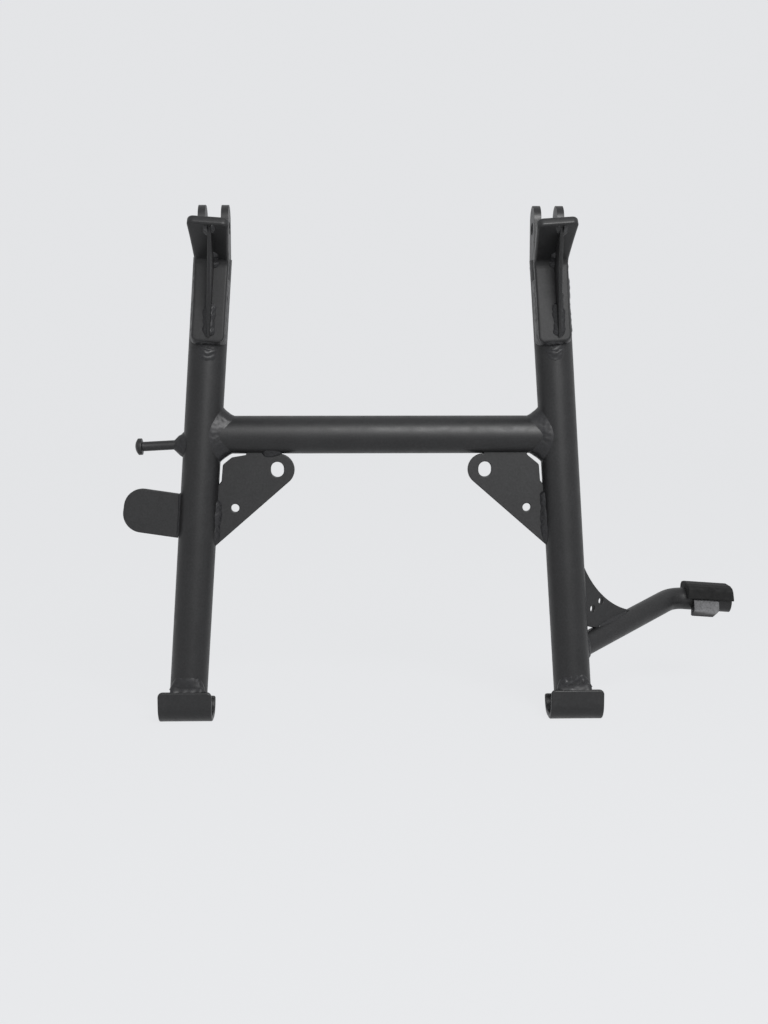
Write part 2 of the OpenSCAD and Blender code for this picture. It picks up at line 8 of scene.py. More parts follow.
import json
from math import acos, asin, atan2, cos, degrees, pi, radians, sin, sqrt, tan

import bmesh
import bpy
import numpy as np
from bpy.props import FloatProperty, FloatVectorProperty, PointerProperty
from mathutils.geometry import delaunay_2d_cdt
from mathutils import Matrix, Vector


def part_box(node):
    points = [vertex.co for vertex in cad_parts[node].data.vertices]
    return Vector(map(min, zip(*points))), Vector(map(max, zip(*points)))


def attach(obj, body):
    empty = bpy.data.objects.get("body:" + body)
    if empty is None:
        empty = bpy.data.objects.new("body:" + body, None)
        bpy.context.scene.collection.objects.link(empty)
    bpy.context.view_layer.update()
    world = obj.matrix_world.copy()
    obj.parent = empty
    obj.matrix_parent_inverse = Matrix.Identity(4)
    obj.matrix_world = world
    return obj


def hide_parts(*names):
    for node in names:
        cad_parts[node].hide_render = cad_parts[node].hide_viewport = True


bl_info = {
    "name": "Centre stand",
    "version": (1, 0, 0),
    "blender": (4, 5, 0),
    "location": "View3D > Sidebar > Centre stand",
    "description": "Builds the visible pieces of a motorcycle's centre stand on its solid frame",
    "category": "Object",
}

MM = 0.001
SAME_PLACE = 1e-6
SHARP_EDGE = radians(40)
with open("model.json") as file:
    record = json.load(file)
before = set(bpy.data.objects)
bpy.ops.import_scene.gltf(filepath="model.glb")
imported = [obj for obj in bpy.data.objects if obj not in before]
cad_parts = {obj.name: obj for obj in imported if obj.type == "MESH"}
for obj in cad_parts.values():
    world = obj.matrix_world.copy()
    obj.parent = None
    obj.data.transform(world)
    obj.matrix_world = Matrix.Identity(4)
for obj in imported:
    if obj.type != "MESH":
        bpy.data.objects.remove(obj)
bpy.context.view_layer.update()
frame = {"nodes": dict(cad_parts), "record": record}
MOUNTS = {mount["name"]: mount for mount in frame["record"]["mounts"]}
SIDES = {"left": -1, "right": 1}


def linear(code):
    """The linear colour of an sRGB hex code: each channel c is ((c + 0.055) / 1.055) ^ 2.4, or c / 12.92
    where it is dark."""
    channels = [int(code[i : i + 2], 16) / 255 for i in (1, 3, 5)]
    return [c / 12.92 if c <= 0.04045 else ((c + 0.055) / 1.055) ** 2.4 for c in channels] + [1.0]


def length(name, mm, description):
    """A length for a property group, written in millimetres."""
    return FloatProperty(name=name, description=description, default=mm * MM, min=0, unit="LENGTH")


def angle(name, degrees, description):
    """An angle for a property group, written in degrees."""
    return FloatProperty(name=name, description=description, default=radians(degrees), subtype="ANGLE")


def colour(name, code, description):
    """A colour for a property group, written as an sRGB hex code."""
    return FloatVectorProperty(
        name=name, description=description, default=linear(code), size=4, subtype="COLOR", min=0, max=1
    )


class LegSizes(bpy.types.PropertyGroup):
    """The legs and the roundings that all plates share."""

    splay: angle("Splay", 4, "Outward lean of each leg")
    radius: length("Radius", 16, "Outer radius of a leg tube")
    top: length("Top", 25, "From the pivot axis to the top of its tube, along the leg")
    fork_half_x: length("Fork half width", 12.5, "Half the fork's width across the stand")
    fork_half_y: length("Fork half depth", 13, "Half the fork's depth, front to rear")
    edge: length("Edge rounding", 0.6, "Radius of the worn-in edges of thin plates")
    thick_edge: length("Thick edge rounding", 1.7, "Radius of the edges of the stop plates")
    step: length("Step", 1.0, "Spacing of the points along a plate's outline")
    tuck: length("Tuck", 1.0, "How far a plate's edge runs into the tube that it is welded to")


class StopSizes(bpy.types.PropertyGroup):
    """The bent stop plates and their webs."""

    thickness: length("Thickness", 7, "Thickness of a stop plate")
    waist_in: length("Inner waist", 15, "From the leg\'s axis to the waist's inner edge")
    waist_out: length("Outer waist", 12, "From the leg\'s axis to the waist's outer edge")
    tip_in: length("Inner tip", 17.5, "From the leg\'s axis to the tip's inner edge")
    tip_out: length("Outer tip", 16, "From the leg\'s axis to the tip's outer edge")
    low: length("Lower end", 94, "From the pivot axis to the lower end, along the leg")
    waist: length("Waist", 70, "From the pivot axis to the waist, along the leg")
    bend: length("Bend", 32, "From the pivot axis to the bend, along the leg")
    bend_radius: length("Bend radius", 6, "Radius inside the bend")
    lean: angle("Lean", 60, "Forward lean of the upper part")
    reach: length("Reach", 49, "Length of the leaning part beyond the bend")
    corner: length("Corner radius", 5, "Radius of the lower corners")
    tip_corner: length("Tip corner radius", 5, "Radius of the corners at the tip")
    web: length("Web thickness", 3, "Thickness of the web under the bend")
    web_setback: length("Web setback", 4, "From the plate's tip to the web")
    web_shift: length("Web shift", 2.2, "Shift of both webs towards the lever's side")
    web_foot: length("Web foot", 3, "Depth of the web at its lower end")
    tongue: length("Weld tongue", 18, "Height of the weld below the lower end")


class FootSizes(bpy.types.PropertyGroup):
    """The bent sheets under the legs."""

    sheet: length("Sheet", 4, "Thickness of a foot's sheet")
    width: length("Width", 45.5, "Length of a foot across the motorcycle")
    front: length("Front height", 28, "Height of a foot's front")
    rear: length("Rear height", 16, "Height of a foot's rear")
    bend: length("Bend radius", 15, "Outer radius of both bends")
    corner: length("Corner radius", 4, "Radius of the sheet's front corners")
    weld_rise: length("Weld rise", 12, "Height of the weld above the sheet")


class GussetSizes(bpy.types.PropertyGroup):
    """The corner plates under the cross tube."""

    thickness: length("Thickness", 5, "Thickness of a corner gusset")
    centre: length("Round end", 87, "From the stand's middle to the round end's centre")
    radius: length("End radius", 13.5, "Radius of the round end")
    slope: angle("Slope", 41, "Angle of the long edge below the cross tube")
    gap: length("Corner gap", 2.2, "Gap at the cut corner")
    lever_run: length("Cut, lever side", 12.5, "Length of the right gap along the cross tube")
    other_run: length("Cut, other side", 22, "Length of the left gap along the cross tube")
    clip_drop: length("Cut down", 27, "Length of the cut corner along the leg")
    oval_half: length("Oval half width", 5.5, "Half the width of the oval hole")
    oval_step: length("Oval step", 1, "Half the distance between the oval's two centres")


class PostSizes(bpy.types.PropertyGroup):
    """The spring post and the rest tab on the left leg."""

    drop: length("Post drop", 178.6, "From the pivot axis down to the post's root")
    reach: length("Post length", 56.5, "Length of the post from the leg's axis")
    droop: angle("Post droop", 3, "Droop of the post")
    shank: length("Shank radius", 4, "Radius of the post's shank")
    head: length("Head radius", 7, "Radius of the post's head")
    head_depth: length("Head depth", 6, "Depth of the post's head")
    tab_drop: length("Tab drop", 242.5, "From the pivot axis down to the tab's middle line")
    tab_thickness: length("Tab thickness", 4, "Thickness of the rest tab")
    tab_height: length("Tab height", 37.5, "Height of the rest tab")
    tab_reach: length("Tab length", 63.5, "Length of the tab from the leg's axis")
    tab_corner: length("Tab corner", 16, "Radius of the tab's corners")
    tab_rise: angle("Tab rise", 8.4, "Rise of the tab towards its end")


class LeverSizes(bpy.types.PropertyGroup):
    """The foot lever, its gusset and its tread."""

    radius: length("Radius", 10, "Outer radius of the lever tube")
    drop: length("Drop", 360, "From the pivot axis down to the lever's root")
    sweep: angle("Sweep", 39, "Turn of the lever to the rear")
    rise: angle("Rise", 9.4, "Rise of the lever from square to the leg")
    reach: length("Length", 145, "Length from the leg's axis to the corner of the bend")
    fall: angle("Fall", 4, "Fall of the lever's outer end")
    gusset: length("Gusset thickness", 4, "Thickness of the lever gusset")
    hollow: length("Hollow radius", 95, "Radius of the gusset's hollow edge")
    gusset_rise: length("Gusset rise", 86, "Height of the gusset on the leg")
    gusset_run: length("Gusset run", 80, "Reach of the gusset along the lever")
    clip_run: length("Cut run", 34.5, "Where the gusset's cut corner meets the lever")
    clip_rise: length("Cut rise", 8, "Rise of the cut corner at the leg")
    hole: length("Hole radius", 3, "Radius of the gusset's two holes")
    pad_start: length("Pad start", 11, "From the bend's corner to the pad")
    pad_length: length("Pad length", 43.5, "Length of the tread pad")
    pad_half: length("Pad half width", 16, "Half the pad's width, front to rear")
    pad_over: length("Pad thickness", 5.5, "Rubber over the top of the tube")
    pad_low: length("Pad's lower edge", 2.5, "Height of the rubber's lower edge over the axis")
    pad_slope: length("Pad slope", 2.7, "How far the pad's outer end slopes back to its top")
    pad_edge: length("Pad edge", 0.9, "Radius of the pad's edges")


class WeldSizes(bpy.types.PropertyGroup):
    """The weld beads."""

    crown: length("Crown", 0.8, "Height of a bead over the straight line between its toes")
    ripple: length("Ripple", 0.28, "Height of the ripples")
    pitch: length("Pitch", 2.8, "Spacing of the ripples")
    lump: length("Lump", 0.25, "Height of the uneven lumps")
    lump_size: length("Lump size", 3.5, "Width of the uneven lumps")
    tuck: length("Tuck", 0.3, "How far a bead's toes lie under the surface")
    step: length("Step", 0.4, "Spacing of the sections along a bead")
    leg: length("Leg", 4, "Leg length of the beads on plates")
    tube_leg: length("Tube leg", 8, "Leg length of the welds of the cross tube, up the leg")
    tube_run: length("Tube run", 11, "Leg length of the welds of the cross tube, along it")


class FinishColours(bpy.types.PropertyGroup):
    """The colours of the finishes and the stage."""

    coat: colour("Powder coat", "#161617", "Black powder coat")
    weld_coat: colour("Coat on welds", "#18181a", "Powder coat over weld")
    # Painted highlight: a paler grey for the tab's upward faces, standing in for light falling on black coat.
    scuffed: colour("Scuffed coat", "#4c4c4e", "Coat rubbed pale on the sloping face under the pad")
    rubber: colour("Rubber", "#050505", "Moulded rubber of the tread pad")
    backdrop: colour("Backdrop", "#e8e9eb", "Floor and backdrop")


GROUPS = {
    "stand_leg": LegSizes,
    "stand_stop": StopSizes,
    "stand_foot": FootSizes,
    "stand_gusset": GussetSizes,
    "stand_post": PostSizes,
    "stand_lever": LeverSizes,
    "stand_weld": WeldSizes,
    "stand_finish": FinishColours,
}


def sizes(*groups):
    """The current values of one property group, or of several in a list."""
    values = [getattr(bpy.context.scene, "stand_" + group) for group in groups]
    return values if len(values) > 1 else values[0]


# Vectors, frames and outlines


def unit(vectors):
    """Each vector divided by its length."""
    return vectors / np.maximum(np.linalg.norm(vectors, axis=-1, keepdims=True), 1e-12)


def line(*coordinates):
    """A line of points from their coordinates, each of them a row of values or one number for all."""
    return np.stack(np.broadcast_arrays(*coordinates), axis=-1)


def at(name):
    """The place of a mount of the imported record."""
    return np.array(MOUNTS[name]["pos_m"])


class Axes:
    """A frame of its own: world = origin + x * X + y * Y + z * Z."""

    def __init__(self, origin, x, y, z):
        self.origin = np.array(origin, float)
        self.rows = np.array([x, y, z], float)

    def __call__(self, points):
        return self.origin + np.asarray(points) @ self.rows

    def turned(self, x, y, z, origin=(0, 0, 0)):
        """Another frame whose axes and origin are given inside this one."""
        return Axes(self(np.array(origin, float)), *(np.array([x, y, z], float) @ self.rows))


def tilt(angle):
    """The directions X, Y and Z of a frame turned about Y, so that its X rises by the angle."""
    return (cos(angle), 0, sin(angle)), (0, 1, 0), (-sin(angle), 0, cos(angle))


WORLD = Axes((0, 0, 0), *tilt(0))


def leg_axes():
    """The right leg: origin on the pivot axis, X outwards, Z up the leg."""
    return Axes(at("right_pivot"), *tilt(sizes("leg").splay))


def cross_axes():
    """The cross tube: origin in its middle, Z along it to the right, X down."""
    low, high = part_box("cross_tube")
    return Axes((0, (low.y + high.y) / 2, (low.z + high.z) / 2), (0, 0, -1), (0, 1, 0), (1, 0, 0))


def cross_radius():
    """The cross tube's outer radius, half its height."""
    low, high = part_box("cross_tube")
    return (high.z - low.z) / 2


def leg_x(drop):
    """The distance from the stand's middle to a leg's axis, at a drop below the pivot axis."""
    return at("right_pivot")[0] + drop * tan(sizes("leg").splay)


def on_leg(drop):
    """The right leg's frame moved down to a drop below the pivot axis."""
    return leg_axes().turned(*WORLD.rows, (0, 0, -drop / cos(sizes("leg").splay)))


def lever_axes():
    """The lever's first stretch: origin on the leg's axis, X out along the lever, Z up in its plane."""
    return lever_plane().turned(*tilt(sizes("lever").rise))


def lever_plane():
    """The upright plane of the lever: origin on the leg's axis, X square to the leg, Z up the leg."""
    size = sizes("lever")
    across, back = cos(size.sweep), sin(size.sweep)
    return on_leg(size.drop).turned((across, back, 0), (-back, across, 0), (0, 0, 1))


def tread_axes():
    """The lever's outer end: origin at the corner of its bend, X out along it, Z up."""
    size = sizes("lever")
    return Axes(lever_axes()((size.reach, 0, 0)), *tilt(-size.fall))


def arc(centre, radius, start, end, count=24):
    """Points on a circle: centre + radius * (cos a, sin a), with a from start to end in degrees."""
    turn = np.radians(np.linspace(start, end, count))
    return np.asarray(centre) + radius * line(np.cos(turn), np.sin(turn))


def rounded(corners, radii):
    """A closed outline through the corners, each replaced by an arc that touches both its sides."""
    parts = []
    corners = np.array(corners, float)
    for before, here, after, radius in zip(
        np.roll(corners, 1, axis=0), corners, np.roll(corners, -1, axis=0), radii
    ):
        first, second = unit(before - here), unit(after - here)
        half = acos(max(-1.0, min(1.0, float(first @ second)))) / 2
        if radius <= 0 or half > radians(89):
            parts.append(here[None])
            continue
        start = here + first * radius / tan(half)
        end = here + second * radius / tan(half)
        centre = here + unit(first + second) * radius / sin(half)
        share = np.linspace(0, 1, 9)[:, None]
        blend = unit((start - centre) * (1 - share) + (end - centre) * share)
        parts.append(centre + blend * radius)
    return np.concatenate(parts)


def evenly(outline, step, closed=True):
    """The outline with its points an even step apart, found by their distance along it."""
    loop = np.concatenate([outline, outline[:1]]) if closed else outline
    run = np.r_[0, np.cumsum(np.linalg.norm(np.diff(loop, axis=0), axis=1))]
    count = max(8, int(round(run[-1] / step)))
    wanted = np.linspace(0, run[-1], count, endpoint=not closed)
    return np.stack([np.interp(wanted, run, loop[:, i]) for i in range(loop.shape[1])], axis=1)


def anticlockwise(loop):
    """The loop turned so that its area, half the sum of x * y' - x' * y, is positive."""
    x, y = loop.T
    area = np.sum(x * np.roll(y, -1) - np.roll(x, -1) * y)
    return loop if area > 0 else loop[::-1]


# Surfaces


def grid_faces(rows, columns, wrap_rows=False, wrap_columns=False):
    """The quads of a grid of points numbered row by row."""
    r = np.arange(rows if wrap_rows else rows - 1)[:, None]
    c = np.arange(columns if wrap_columns else columns - 1)[None]
    up, right = (r + 1) % rows, (c + 1) % columns
    quads = np.stack([r * columns + c, r * columns + right, up * columns + right, up * columns + c], -1)
    return quads.reshape(-1, 4).tolist()


def inside(points, loops):
    """Whether each point has an odd number of the loops' edges to its right."""
    start = np.concatenate(loops)
    end = np.concatenate([np.roll(loop, -1, axis=0) for loop in loops])
    x, y = points[:, :1], points[:, 1:]
    spans = (start[:, 1] > y) != (end[:, 1] > y)
    rise = np.where(end[:, 1] == start[:, 1], 1, end[:, 1] - start[:, 1])
    cut = start[:, 0] + (end[:, 0] - start[:, 0]) * (y - start[:, 1]) / rise
    return (spans & (x < cut)).sum(axis=1) % 2 == 1


def plate(outline, thickness, edge, holes=(), fill=0.0):
    """A flat plate in X and Y, its middle at Z 0, with quarter-round edges.

    Each loop carries one profile round it: from inset 1.5 * edge on the lower face, out along
    inset = edge * (1 - cos a), z = edge * sin a at the lower and the upper edge, and back in. Both faces
    are triangulated inside the innermost loops, over a grid of inner points if fill is given.
    """
    half = thickness / 2
    turn = np.linspace(0, pi / 2, 5)
    inset = np.r_[1.5 * edge, edge * (1 - np.cos(turn[::-1])), edge * (1 - np.cos(turn)), 1.5 * edge]
    height = np.r_[-half, -(half - edge) - edge * np.sin(turn[::-1]), half - edge + edge * np.sin(turn), half]
    loops = [anticlockwise(outline)] + [anticlockwise(hole)[::-1] for hole in holes]
    points, faces, rims, start = [], [], [], 0
    for loop in loops:
        along = unit(np.roll(loop, -1, axis=0) - np.roll(loop, 1, axis=0))
        outwards = line(along[:, 1], -along[:, 0])
        flat = loop[None] - outwards[None] * inset[:, None, None]
        tall = np.broadcast_to(height[:, None, None], flat.shape[:2] + (1,))
        points.append(np.concatenate([flat, tall], axis=2).reshape(-1, 3))
        faces += [[start + i for i in face] for face in grid_faces(len(inset), len(loop), False, True)]
        rims.append(flat[0])
        start += len(points[-1])
    inner = np.empty((0, 2))
    if fill:
        low, high = rims[0].min(axis=0), rims[0].max(axis=0)
        spots = np.stack(np.meshgrid(*[np.arange(a, b, fill) for a, b in zip(low, high)]), -1).reshape(-1, 2)
        inner = spots[inside(spots, rims)]
    flat = np.concatenate(rims + [inner])
    edges, first = [], 0
    for rim in rims:
        edges += [(first + i, first + (i + 1) % len(rim)) for i in range(len(rim))]
        first += len(rim)
    spots, _, triangles = delaunay_2d_cdt([tuple(p) for p in flat], edges, [], 0, 1e-9)[:3]
    spots, triangles = np.array([tuple(p) for p in spots]), np.array(triangles)
    triangles = triangles[inside(spots[triangles].mean(axis=1), rims)]
    for z in (-half, half):
        points.append(np.c_[spots, np.full(len(spots), z)])
        faces += (triangles + start).tolist()
        start += len(spots)
    return np.concatenate(points), faces


def folded(points, runs, start, heading):
    """Bends a flat plate along a path of runs (length, turn) in its side view: straight where the turn is
    nought, else an arc with the radius length / |turn|, to the left for a turn above nought.

    A point (x, s, n) goes to x across, and in the side view to the path's point at the distance s plus n
    times the path's left normal. Past either end the path's last run goes on.
    """
    across, run, lift = points.T
    place = np.zeros((len(points), 2))
    spot, bearing, done = np.array(start, float), heading, 0.0
    for i, (span, sweep) in enumerate(runs):
        after_start = run >= done if i else run > -np.inf
        before_end = run <= done + span if i < len(runs) - 1 else run < np.inf
        along = run - done
        if sweep:
            radius = span / sweep
            middle = spot + radius * np.array([-sin(bearing), cos(bearing)])
            turned = bearing + along / radius
            step = middle - spot + radius * line(np.sin(turned), -np.cos(turned))
            end = middle + radius * np.array([sin(bearing + sweep), -cos(bearing + sweep)])
        else:
            turned = bearing
            step = line(cos(bearing) * along, sin(bearing) * along)
            end = spot + span * np.array([cos(bearing), sin(bearing)])
        here = spot + step + line(-np.sin(turned), np.cos(turned)) * lift[:, None]
        place = np.where((after_start & before_end)[:, None], here, place)
        spot, bearing, done = end, bearing + sweep, done + span
    return np.c_[across, place]


def revolved(profile, count=64):
    """A profile of (x, r) turned about the X axis: (x, r * cos a, r * sin a)."""
    turn = np.linspace(0, 2 * pi, count, endpoint=False)
    x, r = profile.T[..., None]
    return line(x, r * np.cos(turn), r * np.sin(turn)).reshape(-1, 3), grid_faces(len(x), count, False, True)


def wander(run, seed=0.0):
    """A slow unevenness between about -1 and 1: three sines of unlike lengths added together."""
    lengths, weights = np.array([31, 13.7, 7.1]) * MM, np.array([0.5, 0.3, 0.2])
    phases = seed + np.array([0.3, 1.9, 4.1]) * (1 + seed)
    return np.sin(run[..., None] * 2 * pi / lengths + phases) @ weights


def lumps(points, seed=0.0):
    """Uneven ground between about -1 and 1: the mean of eight sine waves that run in unlike directions,
    with wave lengths from one to two times the lump size."""
    chance = np.random.RandomState(int(abs(seed) * 10) + 3)
    ways = unit(chance.normal(size=(8, 3))) * chance.uniform(0.5, 1.0, (8, 1))
    turns = points @ ways.T * 2 * pi / sizes("weld").lump_size + chance.uniform(0, 6.28, 8)
    return np.sin(turns).mean(axis=-1) * 2


def bead(axes, rail_a, rail_b, root, crown, out=None, closed=False, pitch=None, ripple=None, lump=None,
         seed=0.0, taper=3 * MM):
    """A weld bead between two toe lines, which are given inside the axes, carried along them.

    At the share t from one toe to the other, the surface lies on the straight line between the toes, plus
    crown * (4t(1 - t))^0.75 outwards, plus a ripple |sin(pi * s / pitch)| whose crests bow back at the
    toes and which fades in places, plus lumps. The section is closed behind through the root. Open ends
    shrink to a point on a quarter circle.
    """
    weld = sizes("weld")
    pitch = pitch or weld.pitch
    ripple = weld.ripple if ripple is None else ripple
    lump = weld.lump if lump is None else lump
    share = np.linspace(0, 1, 15)
    rail_a, rail_b, root = axes(rail_a), axes(rail_b), axes(root)
    middle = (rail_a + rail_b) / 2
    out = unit(middle - root) if out is None else unit(np.array(out, float)) @ axes.rows + 0 * middle
    ahead = np.roll(middle, -1, axis=0) if closed else middle[1:]
    gaps = np.linalg.norm(ahead - middle[: len(ahead)], axis=1)
    run = np.r_[0, np.cumsum(gaps)][: len(middle)]
    total = gaps.sum()
    if closed:
        pitch = total / round(total / pitch)
    place = np.sin(run / total * 2 * pi) * 0.04 if closed else run
    uneven, faded = wander(place, seed)[:, None], wander(place, seed + 2.6)[:, None]
    arch = (4 * share * (1 - share)) ** 0.75
    bow = 1.1 * pitch * np.abs(2 * share - 1) ** 1.6
    wave = np.abs(np.sin(pi * (run[:, None] + bow + 0.5 * pitch * uneven) / pitch))
    face = rail_a[:, None] * (1 - share[:, None]) + rail_b[:, None] * share[:, None]
    lift = crown * arch * (1 + 0.3 * uneven) + ripple * (wave - 0.64) * np.sqrt(arch) * (0.7 + 0.6 * faded)
    lift = lift + lump * arch * lumps(face, seed)
    face = face + out[:, None] * lift[..., None]
    back = root - out * 0.3 * MM
    section = np.concatenate([face, back[:, None]], axis=1)
    if not closed:
        ends = np.minimum(run, total - run)
        size = np.sqrt(np.clip(1 - (1 - np.minimum(ends / taper, 1)) ** 2, 0, 1))
        heart = (middle + root) / 2
        section = heart[:, None] + (section - heart[:, None]) * size[:, None, None]
    rows, columns = section.shape[:2]
    return section.reshape(-1, 3), grid_faces(rows, columns, closed, True)


def rod_weld(start, direction, radius, along, up, crown, seed=0.0, **wanted):
    """The bead round a rod that leaves the right leg.

    A line of the rod's surface, q + t * d, meets the leg where its distance from the leg's axis is the
    leg's radius: with w and e the parts of q and d square to the axis, |w + t * e| = R, and the larger t
    is the outer crossing. A line that passes behind the leg takes its nearest point. The toes lie along
    the rod and up the leg from there, further where the two surfaces meet squarely than where they run
    into each other, and are set back on both surfaces. The crown goes from its first value where they
    run into each other to its second where they meet squarely, and a hollow is a crown below nought.
    """
    leg, weld = leg_axes(), sizes("weld")
    spine, reach = leg.rows[2], sizes("leg").radius
    count = int(2 * pi * (radius + 6 * MM) / weld.step)
    turn = np.linspace(0, 2 * pi, count, endpoint=False)[:, None]
    side = unit(np.cross(direction, spine))
    top = np.cross(side, direction)
    rod_normal = side * np.cos(turn) + top * np.sin(turn)
    ray = start + radius * rod_normal
    flat = (ray - leg.origin) - ((ray - leg.origin) @ spine)[:, None] * spine
    step = direction - (direction @ spine) * spine
    a, b, c = step @ step, 2 * flat @ step, (flat * flat).sum(axis=1) - reach**2
    t = (-b + np.sqrt(np.maximum(b * b - 4 * a * c, 0))) / (2 * a)
    joint = ray + t[:, None] * direction
    leg_normal = unit(flat + t[:, None] * step)
    tangent = unit(np.roll(joint, -1, axis=0) - np.roll(joint, 1, axis=0))
    on_rod, on_leg_face = np.cross(rod_normal, tangent), np.cross(tangent, leg_normal)
    if (on_rod @ direction).mean() < 0:
        on_rod, on_leg_face = -on_rod, -on_leg_face
    square = 1 - np.abs((rod_normal * leg_normal).sum(axis=1, keepdims=True))
    toe_rod = joint + on_rod * (along[0] + (along[1] - along[0]) * square)
    toe_leg = joint + on_leg_face * (up[0] + (up[1] - up[0]) * square)
    toe_rod = onto_rod(toe_rod, start, direction, radius - weld.tuck)
    toe_leg = onto_rod(toe_leg, leg.origin, spine, reach - weld.tuck)
    out = rod_normal + leg_normal
    crown = crown[0] + (crown[1] - crown[0]) * square
    root = joint - unit(out) * 1.5 * MM
    return bead(WORLD, toe_rod, toe_leg, root, crown, out, closed=True, seed=seed, **wanted)


def onto_rod(points, start, direction, radius):
    """The nearest points on a cylinder: the part square to its axis is scaled to the radius."""
    along = ((points - start) @ direction)[:, None] * direction
    return start + along + unit(points - start - along) * radius


def plate_welds(axes, radius, thickness, low, high, leg_length, seed=0.0, shift=0.0, moon=0.0, **wanted):
    """Two beads where a plate stands on a rod, one on each face.

    Inside the axes the rod runs along Z and the plate leaves it towards X with its middle at y = shift,
    so that a joint is at x = sqrt(radius^2 - y^2). One toe climbs the plate, the other goes round the rod.
    A moon of 1 draws the bead in to a half moon: its width goes as the sine of the way along it.
    """
    weld = sizes("weld")
    count = max(12, int((high - low) / weld.step))
    z = np.linspace(low, high, count)
    swell = 1 - moon + moon * np.sin(pi * (z - low) / (high - low)) ** 0.7
    run = leg_length * (1 + 0.22 * wander(z, seed)) * np.maximum(swell, 0.15)
    made = []
    for face in (-1, 1):
        near, far = shift + face * thickness / 2, shift + face * (thickness / 2 + run)
        joint = line(sqrt(radius**2 - near**2), near, z)
        climb = joint + line(run, -face * weld.tuck, 0)
        side = line(np.sqrt((radius - weld.tuck) ** 2 - far**2), far, z)
        root = joint - (1.5 * MM, face * MM, 0)
        made.append(bead(axes, climb, side, root, weld.crown * 0.6, seed=seed + face, **wanted))
    return made


# Materials


def add_node(tree, kind, links=None, **settings):
    """Adds a shader node with its settings; links gives an output to join or a value for each input."""
    made = tree.nodes.new("ShaderNode" + kind)
    for key, value in settings.items():
        setattr(made, key, value)
    for key, value in (links or {}).items():
        if isinstance(value, bpy.types.NodeSocket):
            tree.links.new(value, made.inputs[key])
        else:
            made.inputs[key].default_value = value
    return made


def blank_material(name):
    """A material with an empty node tree and its output node."""
    made = bpy.data.materials.new(name)
    made.use_nodes = True
    made.node_tree.nodes.clear()
    return made, made.node_tree, made.node_tree.nodes.new("ShaderNodeOutputMaterial")


def grain(tree, place, size, detail=2.0):
    """Noise whose lumps are about the given size in metres."""
    links = {"Vector": place, "Scale": 1 / size, "Detail": detail, "Roughness": 0.55}
    return add_node(tree, "TexNoise", links).outputs["Fac"]


def spread(tree, value, low, high, start=0.3, end=0.7):
    """A value between start and end drawn out to run from low to high."""
    links = {"Value": value, "From Min": start, "From Max": end, "To Min": low, "To Max": high}
    return add_node(tree, "MapRange", links).outputs["Result"]


def tint_of(name):
    """A colour of the finishes by its name."""
    return tuple(getattr(sizes("finish"), name))


def powder_coat(name, tint, rough, peel, painted_highlight_tint=None):
    """Black polyester powder coat, sprayed and baked: a satin film with orange peel a millimetre or two
    across, fine grit of a deeper and a paler black, and slow changes of gloss. A paler tint takes the place
    of the coat's own on faces that slope upwards: a painted highlight for the light that falls on them."""
    made, tree, output = blank_material(name)
    place = add_node(tree, "TexCoord").outputs["Object"]
    grit = spread(tree, grain(tree, place, 1.6 * MM, 4.0), 0.55, 1.5)
    cloud = spread(tree, grain(tree, place, 22 * MM, 3.0), 0.85, 1.15)
    shade = add_node(tree, "Math", {0: grit, 1: cloud}, operation="MULTIPLY").outputs[0]
    base = tint_of(tint)
    # Painted highlight: faces that slope upwards blend towards the paler tint, as if lit from above.
    if painted_highlight_tint:
        normal = add_node(tree, "NewGeometry").outputs["Normal"]
        rise = add_node(tree, "SeparateXYZ", {0: normal}).outputs["Z"]
        links = {"Factor": spread(tree, rise, 0.0, 1.0, 0.25, 0.45), "A": base, "B": tint_of(painted_highlight_tint)}
        base = add_node(tree, "Mix", links, data_type="RGBA").outputs["Result"]
    gloss = spread(tree, grain(tree, place, 9 * MM, 4.0), rough - 0.05, rough + 0.06)
    skin = bumps(tree, place, 1.5 * MM, peel, 0.12 * MM)
    fine = bumps(tree, place, 0.45 * MM, peel * 0.7, 0.05 * MM, {"Normal": skin})
    return coated(made, output, base, shade, {"Roughness": gloss, "Normal": fine, "IOR": 1.46})


def coated(made, output, base, shade, links):
    """Ends a material in one shader, whose colour is the base times the shade."""
    tree = made.node_tree
    base = base if isinstance(base, bpy.types.NodeSocket) else base[:3]
    tint = add_node(tree, "VectorMath", {0: base, "Scale": shade}, operation="SCALE")
    links = {"Base Color": tint.outputs["Vector"], **links}
    shader = add_node(tree, "BsdfPrincipled", links)
    tree.links.new(shader.outputs["BSDF"], output.inputs["Surface"])
    return made


def bumps(tree, place, size, strength, depth, more=None):
    """The surface normal of small lumps of the given size and depth in metres."""
    links = {"Height": grain(tree, place, size), "Strength": strength, "Distance": depth}
    return add_node(tree, "Bump", {**links, **(more or {})}).outputs["Normal"]


def moulded_rubber(name, tint):
    """Moulded black rubber: nearly matt, a little grey where it has rubbed, with a fine stippled skin."""
    made, tree, output = blank_material(name)
    place = add_node(tree, "TexCoord").outputs["Object"]
    rubbed = spread(tree, grain(tree, place, 6 * MM, 4.0), 0.8, 1.35)
    matt = spread(tree, grain(tree, place, 4 * MM), 0.75, 0.88)
    skin = bumps(tree, place, 0.7 * MM, 0.35, 0.15 * MM)
    return coated(made, output, tint_of(tint), rubbed, {"Roughness": matt, "Normal": skin, "IOR": 1.43})


def pale_rays(tree):
    """1 for the rays of the camera, of reflections and of what shines through, and 0 for the others."""
    path = add_node(tree, "LightPath").outputs
    seen = add_node(tree, "Math", {0: path["Is Camera Ray"], 1: path["Is Glossy Ray"]})
    seen = add_node(tree, "Math", {0: seen.outputs[0], 1: path["Is Transmission Ray"]})
    return seen.outputs[0]


